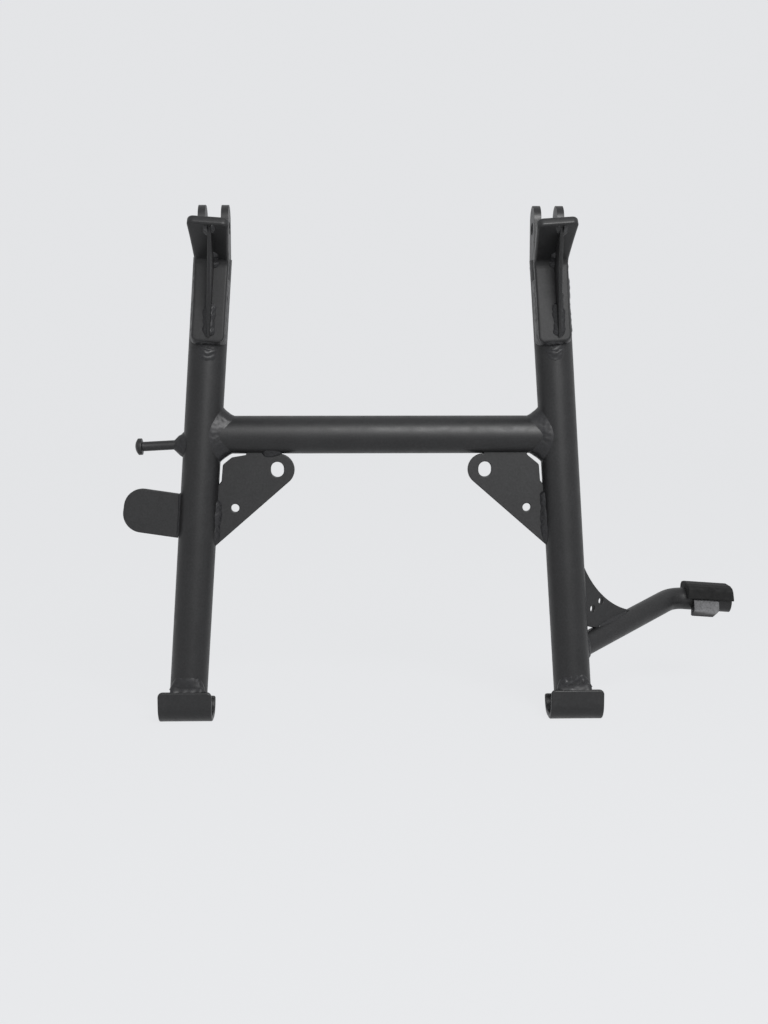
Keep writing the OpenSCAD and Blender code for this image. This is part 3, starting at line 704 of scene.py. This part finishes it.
def backdrop_paper(name, tint):
    """Matt pale paper. The camera, reflections and what shines through see it mostly by its own even
    light, so that it stays pale while it keeps the stand's shadow."""
    made, tree, output = blank_material(name)
    share = add_node(tree, "Math", {0: pale_rays(tree), 1: 0.94}, operation="MULTIPLY")
    matt = add_node(tree, "BsdfDiffuse", {"Color": tint})
    glow = add_node(tree, "Emission", {"Color": tint, "Strength": 1.0})
    links = {0: share.outputs[0], 1: matt.outputs[0], 2: glow.outputs[0]}
    both = add_node(tree, "MixShader", links)
    tree.links.new(both.outputs[0], output.inputs["Surface"])
    return made


# A finish's slot, its function, and what that function takes.
FINISHES = {
    "coat": ("black_paint", powder_coat, "powder_coat", "coat", 0.43, 0.3),
    "weld_coat": ("painted_weld", powder_coat, "powder_coat_on_weld", "weld_coat", 0.45, 0.25),
    # This finish is the coat with a painted highlight on faces that slope upwards.
    "scuffed": ("scuffed_paint", powder_coat, "scuffed_powder_coat", "coat", 0.46, 0.3, "scuffed"),
    "rubber": ("rubber", moulded_rubber, "moulded_rubber", "rubber"),
}
MADE = {}


def finish(look):
    """The material of a finish, made the first time that it is asked for."""
    if look not in MADE:
        make, *settings = FINISHES[look][1:]
        MADE[look] = make(*settings)
    return MADE[look]


# Pieces


def placed(name, data, place=(0, 0, 0), turn=(0, 0, 0)):
    """A new object in the scene."""
    made = bpy.data.objects.new(name, data)
    made.location = place
    made.rotation_euler = turn
    bpy.context.scene.collection.objects.link(made)
    return made


def add_piece(name, shells, look, side=1, stands_for=()):
    """A piece of one or more closed shells, mirrored for side -1, with its normals outwards, its finish
    and the solids that it stands for. Points that meet are merged, and edges over 40 degrees stay sharp."""
    points = np.concatenate([shell[0] for shell in shells]) * np.array([side, 1, 1])
    faces, start = [], 0
    for shell in shells:
        faces += [[start + i for i in face] for face in shell[1]]
        start += len(shell[0])
    mesh = bpy.data.meshes.new(name)
    mesh.from_pydata(points.tolist(), [], faces)
    work = bmesh.new()
    work.from_mesh(mesh)
    bmesh.ops.remove_doubles(work, verts=work.verts, dist=SAME_PLACE)
    bmesh.ops.holes_fill(work, edges=[e for e in work.edges if e.is_boundary])
    bmesh.ops.recalc_face_normals(work, faces=work.faces)
    work.to_mesh(mesh)
    work.free()
    return settle(mesh, name, look, stands_for)


def settle(mesh, name, look, stands_for):
    """Shades a mesh, gives it its finish and puts it on the stand."""
    mesh.shade_smooth()
    mesh.set_sharp_from_angle(angle=SHARP_EDGE)
    mesh.materials.clear()
    mesh.materials.append(finish(look))
    made = placed(name, mesh)
    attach(made, "root")
    if stands_for:
        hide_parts(*stands_for)
    return made


def softened(name, node, width, look):
    """A copy of a solid with its loose triangles merged, its flat faces joined and its edges bevelled."""
    mesh = frame["nodes"][node].data.copy()
    mesh.name = name
    if "custom_normal" in mesh.attributes:
        mesh.attributes.remove(mesh.attributes["custom_normal"])
    work = bmesh.new()
    work.from_mesh(mesh)
    bmesh.ops.remove_doubles(work, verts=work.verts, dist=2 * SAME_PLACE)
    bmesh.ops.dissolve_limit(work, angle_limit=radians(1), verts=work.verts, edges=work.edges)
    work.to_mesh(mesh)
    work.free()
    made = settle(mesh, name, look, (node,))
    bevel = made.modifiers.new("edges", "BEVEL")
    bevel.width = width
    bevel.segments = 3
    bevel.limit_method = "ANGLE"
    bevel.angle_limit = radians(38)
    bevel.harden_normals = True
    return made


class FinishTubes(bpy.types.Operator):
    """Gives the leg tubes, the cross tube and the lever tube their coat"""

    bl_idname = "stand.tubes"
    bl_label = "Tubes"

    def execute(self, context):
        for node in ("left_leg_tube", "right_leg_tube", "cross_tube", "lever_tube"):
            mesh = frame["nodes"][node].data
            mesh.materials.clear()
            mesh.materials.append(finish("coat"))
        return {"FINISHED"}


class BuildForks(bpy.types.Operator):
    """Builds the two pivot forks and the weld that holds each in its leg"""

    bl_idname = "stand.forks"
    bl_label = "Pivot forks"

    def execute(self, context):
        leg, weld = sizes("leg", "weld")
        box = np.array([(1, 1), (-1, 1), (-1, -1), (1, -1)]) * (leg.fork_half_x, leg.fork_half_y)
        ring = evenly(rounded(box, [1.2 * MM] * 4), weld.step * 1.5)
        bearing = unit(ring)
        high = np.full(len(ring), -leg.top + 4 * MM)
        uneven = wander(np.arctan2(ring[:, 1], ring[:, 0]) * 0.01)
        toe_fork = np.c_[ring * 0.98, high + uneven * 0.6 * MM]
        toe_tube = np.c_[bearing * (leg.radius - weld.tuck), high - (14 + 1.5 * uneven) * MM]
        root = np.c_[bearing * (leg.radius - 3 * MM), high - 6 * MM]
        out = np.c_[bearing, 0 * high + 0.25]
        for word, side in SIDES.items():
            softened(f"{word}_fork", f"{word}_pivot_fork", 0.6 * MM, "coat")
            shell = bead(leg_axes(), toe_fork, toe_tube, root, 1.3 * MM, out, True, 3.4 * MM, seed=side)
            add_piece(f"{word}_fork_weld", [shell], "weld_coat", side)
        return {"FINISHED"}


def stop_runs():
    """The side view of a stop plate's middle sheet: straight up the leg, round the bend, and straight."""
    size = sizes("stop")
    middle = size.bend_radius + size.thickness / 2
    return [(size.low - size.bend, 0), (middle * size.lean, size.lean), (size.reach, 0)]


def on_stop(points):
    """Bends points (x, distance up the plate, height off its front) into the right leg's frame."""
    size = sizes("stop")
    start = (-sizes("leg").radius - size.thickness / 2, -size.low)
    return leg_axes()(folded(points, stop_runs(), start, pi / 2))


def stop_outline():
    """A stop plate laid flat: round lower corners, hollow sides through the waist, round corners at the
    tip. Each side is a circle whose depth at the tip is the tip's half width less the waist's."""
    size = sizes("stop")
    total = sum(run[0] for run in stop_runs())
    waist = size.low - size.waist
    up = np.linspace(0, total, 40)

    def hollow(narrow, wide):
        radius = ((total - waist) ** 2 + (wide - narrow) ** 2) / (2 * (wide - narrow))
        return narrow + radius - np.sqrt(radius**2 - (up - waist) ** 2)

    outer = line(hollow(size.waist_out, size.tip_out), up)
    inner = line(-hollow(size.waist_in, size.tip_in), up)
    ends = np.concatenate([outer, inner[::-1]])
    radii = np.zeros(len(ends))
    radii[[0, -1]] = size.corner
    radii[[len(up) - 1, len(up)]] = size.tip_corner
    keep = (radii > 0) | ((ends[:, 1] > size.corner) & (ends[:, 1] < total - size.tip_corner))
    return rounded(ends[keep], radii[keep])


class BuildStopPlates(bpy.types.Operator):
    """Builds the bent stop plates, the webs in their bends and the welds round them"""

    bl_idname = "stand.stops"
    bl_label = "Stop plates"

    def execute(self, context):
        leg, size = sizes("leg", "stop")
        outline = evenly(stop_outline(), leg.step)
        flat, faces = plate(outline, size.thickness, leg.thick_edge, fill=2.5 * MM)
        bent = on_stop(flat)
        for word, side in SIDES.items():
            add_piece(f"{word}_stop", [(bent, faces)], "coat", side, [f"{word}_stop_plate"])
            web, fillets = self.web(side * size.web_shift)
            add_piece(f"{word}_web", [web], "coat", side, [f"{word}_stop_web"])
            add_piece(f"{word}_web_weld", fillets, "weld_coat", side)
            beads = [self.rim(outline, side), self.tongue(side)]
            add_piece(f"{word}_plate_weld", beads, "weld_coat", side, [f"{word}_stop_weld"])
        return {"FINISHED"}

    def web(self, shift):
        """The web in the bend, drawn on the side view (y, z), and a fillet on each of its faces."""
        leg, size, weld = sizes("leg", "stop", "weld")
        runs = stop_runs()
        top = sum(run[0] for run in runs) - size.web_setback
        face = size.thickness / 2
        seat = line(0, np.linspace(4 * MM, top, 60), face - 0.8 * MM)
        seat = folded(seat, runs, (-leg.radius - face, -size.low), pi / 2)[:, 1:]
        outline = evenly(np.concatenate([seat, seat[:1] - (size.web_foot, 0)]), leg.step)
        flat, faces = plate(outline, size.web, 1.2 * MM, fill=3 * MM)
        web = leg_axes()(np.c_[flat[:, 2] + shift, flat[:, :2]]), faces
        fillets = []
        for hand, first, last in (
            (-1, 5 * MM, 32 * MM), (-1, 60 * MM, 82 * MM), (-1, top - 9 * MM, top + 2 * MM),
            (1, 4 * MM, 42 * MM), (1, 57 * MM, 77 * MM), (1, top - 12 * MM, top + 1 * MM),
        ):
            along = np.linspace(first, last, int((last - first) / weld.step))
            uneven = 1 + 0.3 * wander(along, 1.7 + hand)
            wall = shift + hand * size.web / 2
            climb = line(wall - hand * weld.tuck, along, face + 2.4 * MM * uneven)
            beside = line(wall + hand * 3.6 * MM * uneven, along, face - weld.tuck)
            root = line(wall - hand * MM, along, face - 1.2 * MM)
            fillets.append(bead(on_stop, climb, beside, root, weld.crown * 0.5, seed=hand, taper=5 * MM))
        return web, fillets

    def rim(self, outline, side):
        """The bead down one side of the plate, under it and up the other, from the plate's rim to the tube.
        The tube's toe lies where the outline, moved outwards, meets y = -sqrt(radius^2 - x^2)."""
        leg, size, weld = sizes("leg", "stop", "weld")
        x, up = anticlockwise(outline).T
        low = up < size.low - size.bend - 8 * MM
        first = int(np.argmax(low & ~np.roll(low, 1)))
        order = (first + np.arange(low.sum())) % len(x)
        path = evenly(line(x[order], up[order]), weld.step, closed=False)
        along = unit(np.gradient(path, axis=0))
        outwards = line(along[:, 1], -along[:, 0])
        uneven = wander(np.arange(len(path)) * weld.step, side)
        x, z = (path - outwards * MM).T
        z = z - size.low
        far = path + outwards * (2.6 + 0.5 * uneven[:, None]) * MM
        reach = np.clip(far[:, 0], -leg.radius + 0.6 * MM, leg.radius - 0.6 * MM)
        inner = np.sqrt(np.maximum((leg.radius - weld.tuck) ** 2 - reach**2, 0))
        tube_toe = line(reach, -inner, far[:, 1] - size.low)
        plate_toe = line(x, -leg.radius - size.thickness + (1.0 - 0.5 * uneven) * MM, z)
        root = line(x * 0.8, -leg.radius + 3 * MM, z)
        out = line(outwards[:, 0], -1.2, outwards[:, 1])
        return bead(
            leg_axes(), plate_toe, tube_toe, root, weld.crown * 1.9, out, pitch=3.4 * MM, ripple=0.2 * MM,
            lump=0.35 * MM, seed=side,
        )

    def tongue(self, side):
        """The coarse weld below the plate: a bead down the tube's front that narrows and thins out."""
        leg, size, weld = sizes("leg", "stop", "weld")
        down = np.linspace(-3 * MM, size.tongue, int((size.tongue + 3 * MM) / weld.step))
        share = np.clip(down / size.tongue, 0, 1)
        half = (9.5 - 3.5 * share + 0.7 * wander(down, side)) * MM
        radius = leg.radius - weld.tuck
        z = -size.low - down
        middle = (size.waist_out - size.waist_in) / 2
        left, right = (line(x, -np.sqrt(radius**2 - x**2), z) for x in (middle - half, middle + half))
        root = line(middle, -leg.radius + 3 * MM, z)
        sag = radius - np.sqrt(radius**2 - half**2)
        crown = (2.4 * (1 - share) ** 1.3 * MM + 0.2 * MM + sag)[:, None]
        return bead(
            leg_axes(), left, right, root, crown, (0, -1, 0), pitch=5.2 * MM, ripple=0.7 * MM,
            seed=side * 2.3, taper=5 * MM,
        )


class BuildFeet(bpy.types.Operator):
    """Builds the bent feet and the welds between them and the legs"""

    bl_idname = "stand.feet"
    bl_label = "Feet"

    def execute(self, context):
        leg, size = sizes("leg", "foot")
        middle = size.bend - size.sheet / 2
        turn = pi / 2
        inner = leg.radius + size.sheet / 2
        bend = (middle * turn, turn)
        sole = (2 * (inner - middle), 0)
        runs = [(size.front - size.bend, 0), bend, sole, bend, (size.rear - size.bend, 0)]
        total = sum(run[0] for run in runs)
        half = size.width / 2
        corners = [(-half, 0), (half, 0), (half, total), (-half, total)]
        outline = rounded(corners, [size.corner] * 2 + [1.6 * MM] * 2)
        flat, faces = plate(evenly(outline, leg.step), size.sheet, 1.1 * MM, fill=2.5 * MM)
        base = at("right_foot_base")
        bent = folded(flat, runs, (-inner, base[2] + size.front), -turn) + (base[0], 0, 0)
        for word, side in SIDES.items():
            add_piece(f"{word}_foot_sheet", [(bent, faces)], "coat", side, [f"{word}_foot"])
            welds = [part(face, side) for part in (self.arch, self.roll) for face in (-1, 1)]
            add_piece(f"{word}_foot_bead", welds, "weld_coat", side, [f"{word}_foot_weld"])
        return {"FINISHED"}

    def edge_axes(self, face):
        """The leg's frame at the height of a foot's upper edge: the front one for face -1, the rear for 1."""
        size = sizes("foot")
        return on_leg(-at("right_foot_base")[2] - (size.front if face < 0 else size.rear))

    def arch(self, face, side):
        """The bead over a foot's upper edge: one toe on the sheet, the other an arch on the tube, highest
        at the middle."""
        leg, size, weld = sizes("leg", "foot", "weld")
        rise = size.weld_rise * (1 if face < 0 else 0.5)
        bearing = np.linspace(-1.15, 1.15, 110)
        uneven = wander(bearing * 0.02, side + face)
        radius = leg.radius - weld.tuck
        arch = rise * (1 - (np.abs(bearing) / 1.2) ** 3) * (1 + 0.12 * uneven)
        tube_toe = line(radius * np.sin(bearing), face * radius * np.cos(bearing), arch + 0.6 * MM)
        x = 1.12 * radius * np.sin(bearing)
        sheet_toe = line(x, face * (leg.radius - 0.5 * MM), 0.8 * MM)
        root = line(x * 0.9, face * (leg.radius - 2 * MM), -MM)
        ripple, lump = (0.25 * MM, 0.45 * MM) if side > 0 else (0.12 * MM, 0.12 * MM)
        return bead(
            self.edge_axes(face), sheet_toe, tube_toe, root, weld.crown, (0, face, 0.8), pitch=4.6 * MM,
            ripple=ripple, lump=lump, seed=side + face, taper=4 * MM,
        )

    def roll(self, face, side):
        """The smooth run of weld that lies on the sheet's upper edge, from its outer face to the tube."""
        leg, size = sizes("leg", "foot")
        x = np.linspace(-14.5 * MM, 14.5 * MM, 90)
        uneven = wander(x, side * 1.3 + face)
        sheet_toe = line(x, face * (leg.radius + size.sheet - 0.2 * MM), -2.4 * MM + 0.4 * MM * uneven)
        upper_toe = line(x, face * (leg.radius - MM), 3.9 * MM + 0.6 * MM * uneven)
        root = line(x, face * (leg.radius - 2 * MM), -MM)
        return bead(
            self.edge_axes(face), sheet_toe, upper_toe, root, 0.5 * MM, (0, face, 0.9), ripple=0,
            lump=0.1 * MM, seed=side + face, taper=4 * MM,
        )


class BuildCrossWelds(bpy.types.Operator):
    """Builds the welds where the cross tube meets the legs"""

    bl_idname = "stand.cross_welds"
    bl_label = "Cross tube welds"

    def execute(self, context):
        weld = sizes("weld")
        back, drop = cross_axes().origin[1], -cross_axes().origin[2]
        for word, side in SIDES.items():
            shell = rod_weld(
                np.array([leg_x(drop), back, -drop]), np.array([-1.0, 0, 0]), cross_radius(),
                (5 * MM, weld.tube_run), (3.4 * MM, weld.tube_leg), (MM, -1.1 * MM), side,
                pitch=4.4 * MM, ripple=0.06 * MM, lump=0.16 * MM,
            )
            add_piece(f"{word}_cross_bead", [shell], "weld_coat", side, [f"{word}_cross_weld"])
        return {"FINISHED"}


class BuildGussets(bpy.types.Operator):
    """Builds the corner gussets with their holes and welds"""

    bl_idname = "stand.gussets"
    bl_label = "Corner gussets"

    def execute(self, context):
        leg, size, weld = sizes("leg", "gusset", "weld")
        under = cross_axes()
        top = -under.origin[2] + cross_radius()
        slant = cos(leg.splay)
        leg_low, leg_high = self.foot_drop() / slant, (top + size.clip_drop) / slant
        inboard = leg_axes().turned((-1, 0, 0), (0, 1, 0), (0, 0, 1))
        for word, side in SIDES.items():
            if side > 0:
                run, bare = size.lever_run, 4 * MM
                start, end = size.centre - 8 * MM, leg_x(top) - leg.radius / slant - run + MM
            else:
                run, bare = size.other_run, 11 * MM
                start, end = size.centre - 3 * MM, size.centre + 14 * MM
            flat, faces = self.flat_plate(run)
            add_piece(f"{word}_gusset_plate", [(flat[:, [0, 2, 1]], faces)], "coat", side, [f"{word}_gusset"])
            up_leg = (leg.radius, size.thickness, -leg_low + 3 * MM, -leg_high - bare, weld.leg, side)
            along = (cross_radius(), size.thickness, start, end, weld.leg, side + 0.7, -under.origin[1], 0.7)
            beads = plate_welds(inboard, *up_leg, moon=0.3) + plate_welds(under, *along)
            add_piece(f"{word}_gusset_bead", beads, "weld_coat", side, [f"{word}_gusset_weld"])
        return {"FINISHED"}

    def foot_drop(self):
        """The drop at which the long edge meets the leg: the edge starts on the round end and falls at the
        slope, the leg's face runs out at the splay."""
        leg, size = sizes("leg", "gusset")
        along, fall = cos(size.slope), sin(size.slope)
        start = self.round_centre() - size.radius * np.array([fall, along])
        face = leg_x(-start[1]) - leg.radius / cos(leg.splay)
        run = (face - start[0]) / (along - fall * tan(leg.splay))
        return run * fall - start[1]

    def round_centre(self):
        """The centre of the round end, a radius below the cross tube's underside."""
        size = sizes("gusset")
        return np.array([size.centre, cross_axes().origin[2] - cross_radius() - size.radius])

    def flat_plate(self, run):
        """The gusset laid out in (x, z): round end, long edge, the leg, the cut corner, the cross tube. The
        gap runs along the cross tube for the given length."""
        leg, size = sizes("leg", "gusset")
        centre = self.round_centre()
        top = centre[1] + size.radius

        def face(z, back=0.0):
            return at("right_pivot")[0] - z * tan(leg.splay) - leg.radius / cos(leg.splay) + back

        low, clip, gap = -self.foot_drop(), top - size.clip_drop, size.gap
        round_end = arc(centre, size.radius, 90, 270 - degrees(size.slope), 40)
        corners = [
            (face(low, leg.tuck), low - leg.tuck * tan(size.slope)),
            (face(clip, leg.tuck), clip),
            (face(clip) - gap, clip + 4 * MM),
            (face(top - 9 * MM) - gap, top - 8 * MM - gap / 2),
            (face(top) - 9 * MM, top - gap * sqrt(2)),
            (face(top) - run + MM, top - gap / 2),
            (face(top) - run, top + 2 * leg.tuck),
            (size.centre, top + 2 * leg.tuck),
        ]
        radii = np.array([0.4, 0.4, 1.3, 3, 2, 0.6, 0.4, 0.4]) * MM
        outline = rounded(np.concatenate([round_end, corners]), np.r_[np.zeros(len(round_end)), radii])
        small, oval = at("right_gusset_hole")[[0, 2]], at("right_gusset_oval")[[0, 2]]
        hole = arc(small, MOUNTS["right_gusset_hole"]["dims"]["r_mm"] * MM, 0, 360, 33)[:-1]
        half, step = size.oval_half, (0, size.oval_step)
        slot = np.concatenate([arc(oval + step, half, 0, 180, 20), arc(oval - step, half, 180, 360, 20)])
        outline, *holes = (evenly(loop, 0.7 * MM) for loop in (outline, hole, slot))
        return plate(outline, size.thickness, leg.edge, holes)


class BuildPostAndTab(bpy.types.Operator):
    """Builds the spring post and the rest tab on the left leg, with their welds"""

    bl_idname = "stand.post_and_tab"
    bl_label = "Spring post and rest tab"

    def execute(self, context):
        leg, size = sizes("leg", "post")
        axes = Axes((leg_x(size.drop), 0, -size.drop), *tilt(-size.droop))
        points, faces = revolved(self.post_profile())
        add_piece("post", [(axes(points), faces)], "coat", -1, ["spring_post"])
        collar = rod_weld(axes.origin, axes.rows[0], size.shank, (7 * MM, 8 * MM), (6 * MM, 7 * MM),
                          (0.2 * MM, 0.2 * MM), 0.4, ripple=0.08 * MM, lump=0.5 * MM)
        add_piece("post_bead", [collar], "weld_coat", -1, ["spring_post_weld"])
        half, corner = size.tab_height / 2, size.tab_corner
        start, end = leg.radius - leg.tuck, size.tab_reach - corner
        lower, upper = arc((end, corner - half), corner, -90, 0), arc((end, half - corner), corner, 0, 90)
        shape = np.concatenate([[(start, -half)], lower, upper, [(start, half)]])
        flat, faces = plate(evenly(shape, leg.step), size.tab_thickness, leg.edge)
        tab = Axes((leg_x(size.tab_drop), 0, -size.tab_drop), *tilt(size.tab_rise))
        add_piece("tab", [(tab(flat[:, [0, 2, 1]]), faces)], "coat", -1, ["rest_tab"])
        seat = -(size.tab_drop - leg.radius * tan(size.tab_rise)) / cos(leg.splay)
        ends = (seat - half, seat + half)
        beads = plate_welds(leg_axes(), leg.radius, size.tab_thickness, *ends, 1.6 * MM, 2.0)
        add_piece("tab_bead", beads, "weld_coat", -1, ["rest_tab_weld"])
        return {"FINISHED"}

    def post_profile(self):
        """The post's outline from its root to the middle of its domed head, as (x, r). The dome is an arc
        of 0.75 of the head's diameter, and the rim and the neck are rounded."""
        size = sizes("post")
        neck = size.reach - size.head_depth
        dome = size.head * 1.5
        rim = degrees(asin(size.head * 0.92 / dome))
        cap = arc((size.reach - dome, 0), dome, 0, rim, 12)[::-1]
        edge = 0.6 * MM
        under = arc((neck + edge, size.head - edge), edge, 180, 90, 7)
        outer = arc((cap[0][0] - 1.2 * edge, size.head - edge), edge, 90, 30, 5)
        hollow = arc((neck - 1.2 * MM, size.shank + 1.2 * MM), 1.2 * MM, -90, 0, 7)
        shank = np.array([(12 * MM, 0), (12 * MM, size.shank), (20 * MM, size.shank), (34 * MM, size.shank)])
        return np.concatenate([shank, hollow, under, outer, cap])


class BuildLever(bpy.types.Operator):
    """Builds the lever's gusset, its welds, the tread pad and the tab under it"""

    bl_idname = "stand.lever"
    bl_label = "Foot lever"

    def execute(self, context):
        leg, size, weld = sizes("leg", "lever", "weld")
        lever, plane = lever_axes(), lever_plane()
        flat, faces = self.gusset_plate()
        add_piece("lever_web", [(plane(flat[:, [0, 2, 1]]), faces)], "coat", 1, ["lever_gusset"])
        crown = (weld.crown, weld.crown * 0.6)
        collar = rod_weld(lever.origin, lever.rows[0], size.radius, (3 * MM, 4 * MM), (2.5 * MM, 3.5 * MM),
                          crown, 1.3)
        add_piece("lever_bead", [collar], "weld_coat", 1, ["lever_weld"])
        low = self.lever_top(leg.radius) + size.clip_rise
        ends = (low + 4 * MM, size.gusset_rise - 3 * MM)
        beads = plate_welds(plane, leg.radius, size.gusset, *ends, 3.2 * MM, 0.9)
        start, end = (run / cos(size.rise) for run in (size.clip_run, size.gusset_run))
        along = lever.turned((0, 0, 1), (0, 1, 0), (1, 0, 0))
        beads += plate_welds(along, size.radius, size.gusset, start + 3 * MM, end - 3 * MM, 2.2 * MM, 1.6,
                             moon=0.4, ripple=0.06 * MM, lump=0.15 * MM)
        add_piece("lever_web_bead", beads, "weld_coat", 1, ["lever_gusset_weld"])
        add_piece("pad", [self.pad()], "rubber", 1, ["tread_pad"])
        # The tab under the pad gets the coat with a painted highlight on its upward faces.
        softened("grey_tab", "tread_tab", 0.5 * MM, "scuffed")
        return {"FINISHED"}

    def lever_top(self, run):
        """The height of the lever's upper side in its plane, at a distance square to the leg."""
        size = sizes("lever")
        return run * tan(size.rise) + size.radius / cos(size.rise)

    def gusset_plate(self):
        """The lever gusset in its plane: up the leg, down a hollow arc to the lever, along the lever and
        across the cut corner."""
        leg, size = sizes("leg", "lever")
        top = np.array([leg.radius, size.gusset_rise])
        tip = np.array([size.gusset_run, self.lever_top(size.gusset_run)])
        chord = tip - top
        across = unit(np.array([-chord[1], chord[0]]))
        half = np.linalg.norm(chord) / 2
        centre = (top + tip) / 2 + across * sqrt(size.hollow**2 - half**2)
        start, end = (degrees(atan2(*(p - centre)[::-1])) % 360 for p in (top, tip))
        hollow = arc(centre, size.hollow, start, end, 40)
        inside_leg = leg.radius - leg.tuck
        low = self.lever_top(leg.radius) + size.clip_rise
        rest = [
            tip - (0.5 * MM, leg.tuck),
            (size.clip_run, self.lever_top(size.clip_run) - leg.tuck),
            (leg.radius + 4 * MM, low - MM),
            (inside_leg, low),
            (inside_leg, size.gusset_rise),
        ]
        plane = lever_plane()
        holes = []
        for name in ("lever_gusset_outer_hole", "lever_gusset_inner_hole"):
            middle = np.linalg.inv(plane.rows.T) @ (at(name) - plane.origin)
            holes.append(evenly(arc(middle[[0, 2]], size.hole, 0, 360, 33)[:-1], 0.6 * MM))
        return plate(evenly(np.concatenate([hollow, rest]), 0.7 * MM), size.gusset, leg.edge, holes)

    def pad(self):
        """The tread pad: one crisp section (y, z) carried along X. At both ends the section shrinks about
        its middle on a quarter circle, and the outer end slopes, which moves its top inwards."""
        size = sizes("lever")
        crown = size.radius + size.pad_over
        half, low, edge = size.pad_half, size.pad_low, size.pad_edge
        right = [(half, low), (half, crown - 4 * MM), (half - 2 * MM, crown - 1.5 * MM), (half / 2, crown)]
        shape = right + [(-y, z) for y, z in right[::-1]]
        radii = [edge, 1.5 * edge, 1.5 * edge, 0, 0, 1.5 * edge, 1.5 * edge, edge]
        section = evenly(rounded(shape, radii), 0.5 * MM)
        turn = np.linspace(0, pi / 2, 6)
        first = np.r_[0.0, edge * (1 - np.cos(turn))]
        shrink = np.r_[4 * edge, edge * (1 - np.sin(turn))]
        body = np.linspace(edge, size.pad_length - edge, 30)[1:-1]
        x = np.r_[first, body, size.pad_length - first[::-1]]
        inset = np.r_[shrink, 0 * body, shrink[::-1]][:, None, None]
        middle = np.array([0, (crown + low) / 2])
        reach = np.array([half, (crown - low) / 2])
        y, z = np.moveaxis(middle + (section - middle) * (1 - inset / reach), -1, 0)
        share = np.clip((x / size.pad_length - 0.75) / 0.25, 0, 1)[:, None]
        height = np.clip((z - low) / (crown - low), 0, 1)
        points = line(size.pad_start + x[:, None] - share * size.pad_slope * height, y, z)
        return tread_axes()(points.reshape(-1, 3)), grid_faces(*y.shape, False, True)


class BuildStage(bpy.types.Operator):
    """Builds the floor with its backdrop, the soft lights and the camera"""

    bl_idname = "stand.stage"
    bl_label = "Stage"

    def execute(self, context):
        self.backdrop()
        self.lights()
        self.camera()
        context.scene.view_settings.view_transform = "Standard"
        return {"FINISHED"}

    def backdrop(self):
        """The floor runs back, turns up on a quarter circle and stands as the backdrop: one profile
        (y, z) carried along X."""
        depth, width, bend, front, height = 3.2, 40.0, 1.2, -40.0, 2.6
        floor = at("right_foot_base")[2]
        curve = arc((depth, floor + bend), bend, -90, 0, 32)
        profile = np.concatenate([[(front, floor)], curve, [(depth + bend, floor + height)]])
        across = np.linspace(-width, width, 3)[:, None]
        points = line(across, *profile.T)
        mesh = bpy.data.meshes.new("backdrop")
        mesh.from_pydata(points.reshape(-1, 3).tolist(), [], grid_faces(*points.shape[:2]))
        mesh.shade_smooth()
        mesh.materials.append(backdrop_paper("backdrop_paper", tint_of("backdrop")))
        placed("backdrop", mesh)

    def lights(self):
        """A soft box in front, above and a little to the right, a weaker one low behind the camera, and
        a world that lights the stand weakly but looks as pale as the paper."""
        aim = np.array([0, 0, -0.2])
        for name, place, size, power in (
            ("front_box", (0.45, -1.4, 0.74), 0.8, 29),
            ("low_box", (0.3, -2.2, -0.12), 1.0, 3.5),
        ):
            lamp = bpy.data.lights.new(name, "AREA")
            lamp.shape = "SQUARE"
            lamp.size = size
            lamp.energy = power
            placed(name, lamp, place, look_at(np.array(place), aim))
        world = bpy.data.worlds.new("studio")
        world.use_nodes = True
        sky = world.node_tree.nodes["Background"]
        sky.inputs["Color"].default_value = tint_of("backdrop")
        strength = spread(world.node_tree, pale_rays(world.node_tree), 0.3, 0.97, 0.0, 1.0)
        world.node_tree.links.new(strength, sky.inputs["Strength"])
        bpy.context.scene.world = world

    def camera(self):
        """The camera where the photograph was taken from: 1.15 m in front, a little left of the middle,
        level with the top of the legs' middle third and tilted down."""
        place, degrees_down, degrees_right = (-30.66 * MM, -1150 * MM, -108.61 * MM), 6.389, 1.642
        focal_length, film_height, far_end = 47.74, 36, 100
        lens = bpy.data.cameras.new("camera")
        lens.sensor_fit = "VERTICAL"
        lens.sensor_height = film_height
        lens.lens = focal_length
        lens.clip_end = far_end
        turn = (radians(90 - degrees_down), 0, radians(-degrees_right))
        bpy.context.scene.camera = placed("camera", lens, place, turn)


def look_at(place, aim):
    """The turn that points a lamp's -Z from its place to the aim."""
    away = unit(place - aim)
    return (acos(away[2]), 0, atan2(away[0], -away[1]))


class StandPanel(bpy.types.Panel):
    """Lists the steps that build the stand"""

    bl_idname = "VIEW3D_PT_centre_stand"
    bl_label = "Centre stand"
    bl_space_type = "VIEW_3D"
    bl_region_type = "UI"
    bl_category = "Centre stand"

    def draw(self, context):
        for step in STEPS:
            self.layout.operator(step.bl_idname)


STEPS = (
    FinishTubes,
    BuildForks,
    BuildStopPlates,
    BuildFeet,
    BuildCrossWelds,
    BuildGussets,
    BuildPostAndTab,
    BuildLever,
    BuildStage,
)


def register():
    """Registers the sizes, the steps and the panel."""
    for name, group in GROUPS.items():
        bpy.utils.register_class(group)
        setattr(bpy.types.Scene, name, PointerProperty(type=group))
    for step in STEPS + (StandPanel,):
        bpy.utils.register_class(step)


def unregister():
    """Undoes register."""
    for step in (StandPanel,) + STEPS[::-1]:
        bpy.utils.unregister_class(step)
    for name, group in reversed(GROUPS.items()):
        delattr(bpy.types.Scene, name)
        bpy.utils.unregister_class(group)


def main():
    """Runs every step in order."""
    register()
    for step in STEPS:
        family, name = step.bl_idname.split(".")
        getattr(getattr(bpy.ops, family), name)()


if __name__ == "__main__":
    main()
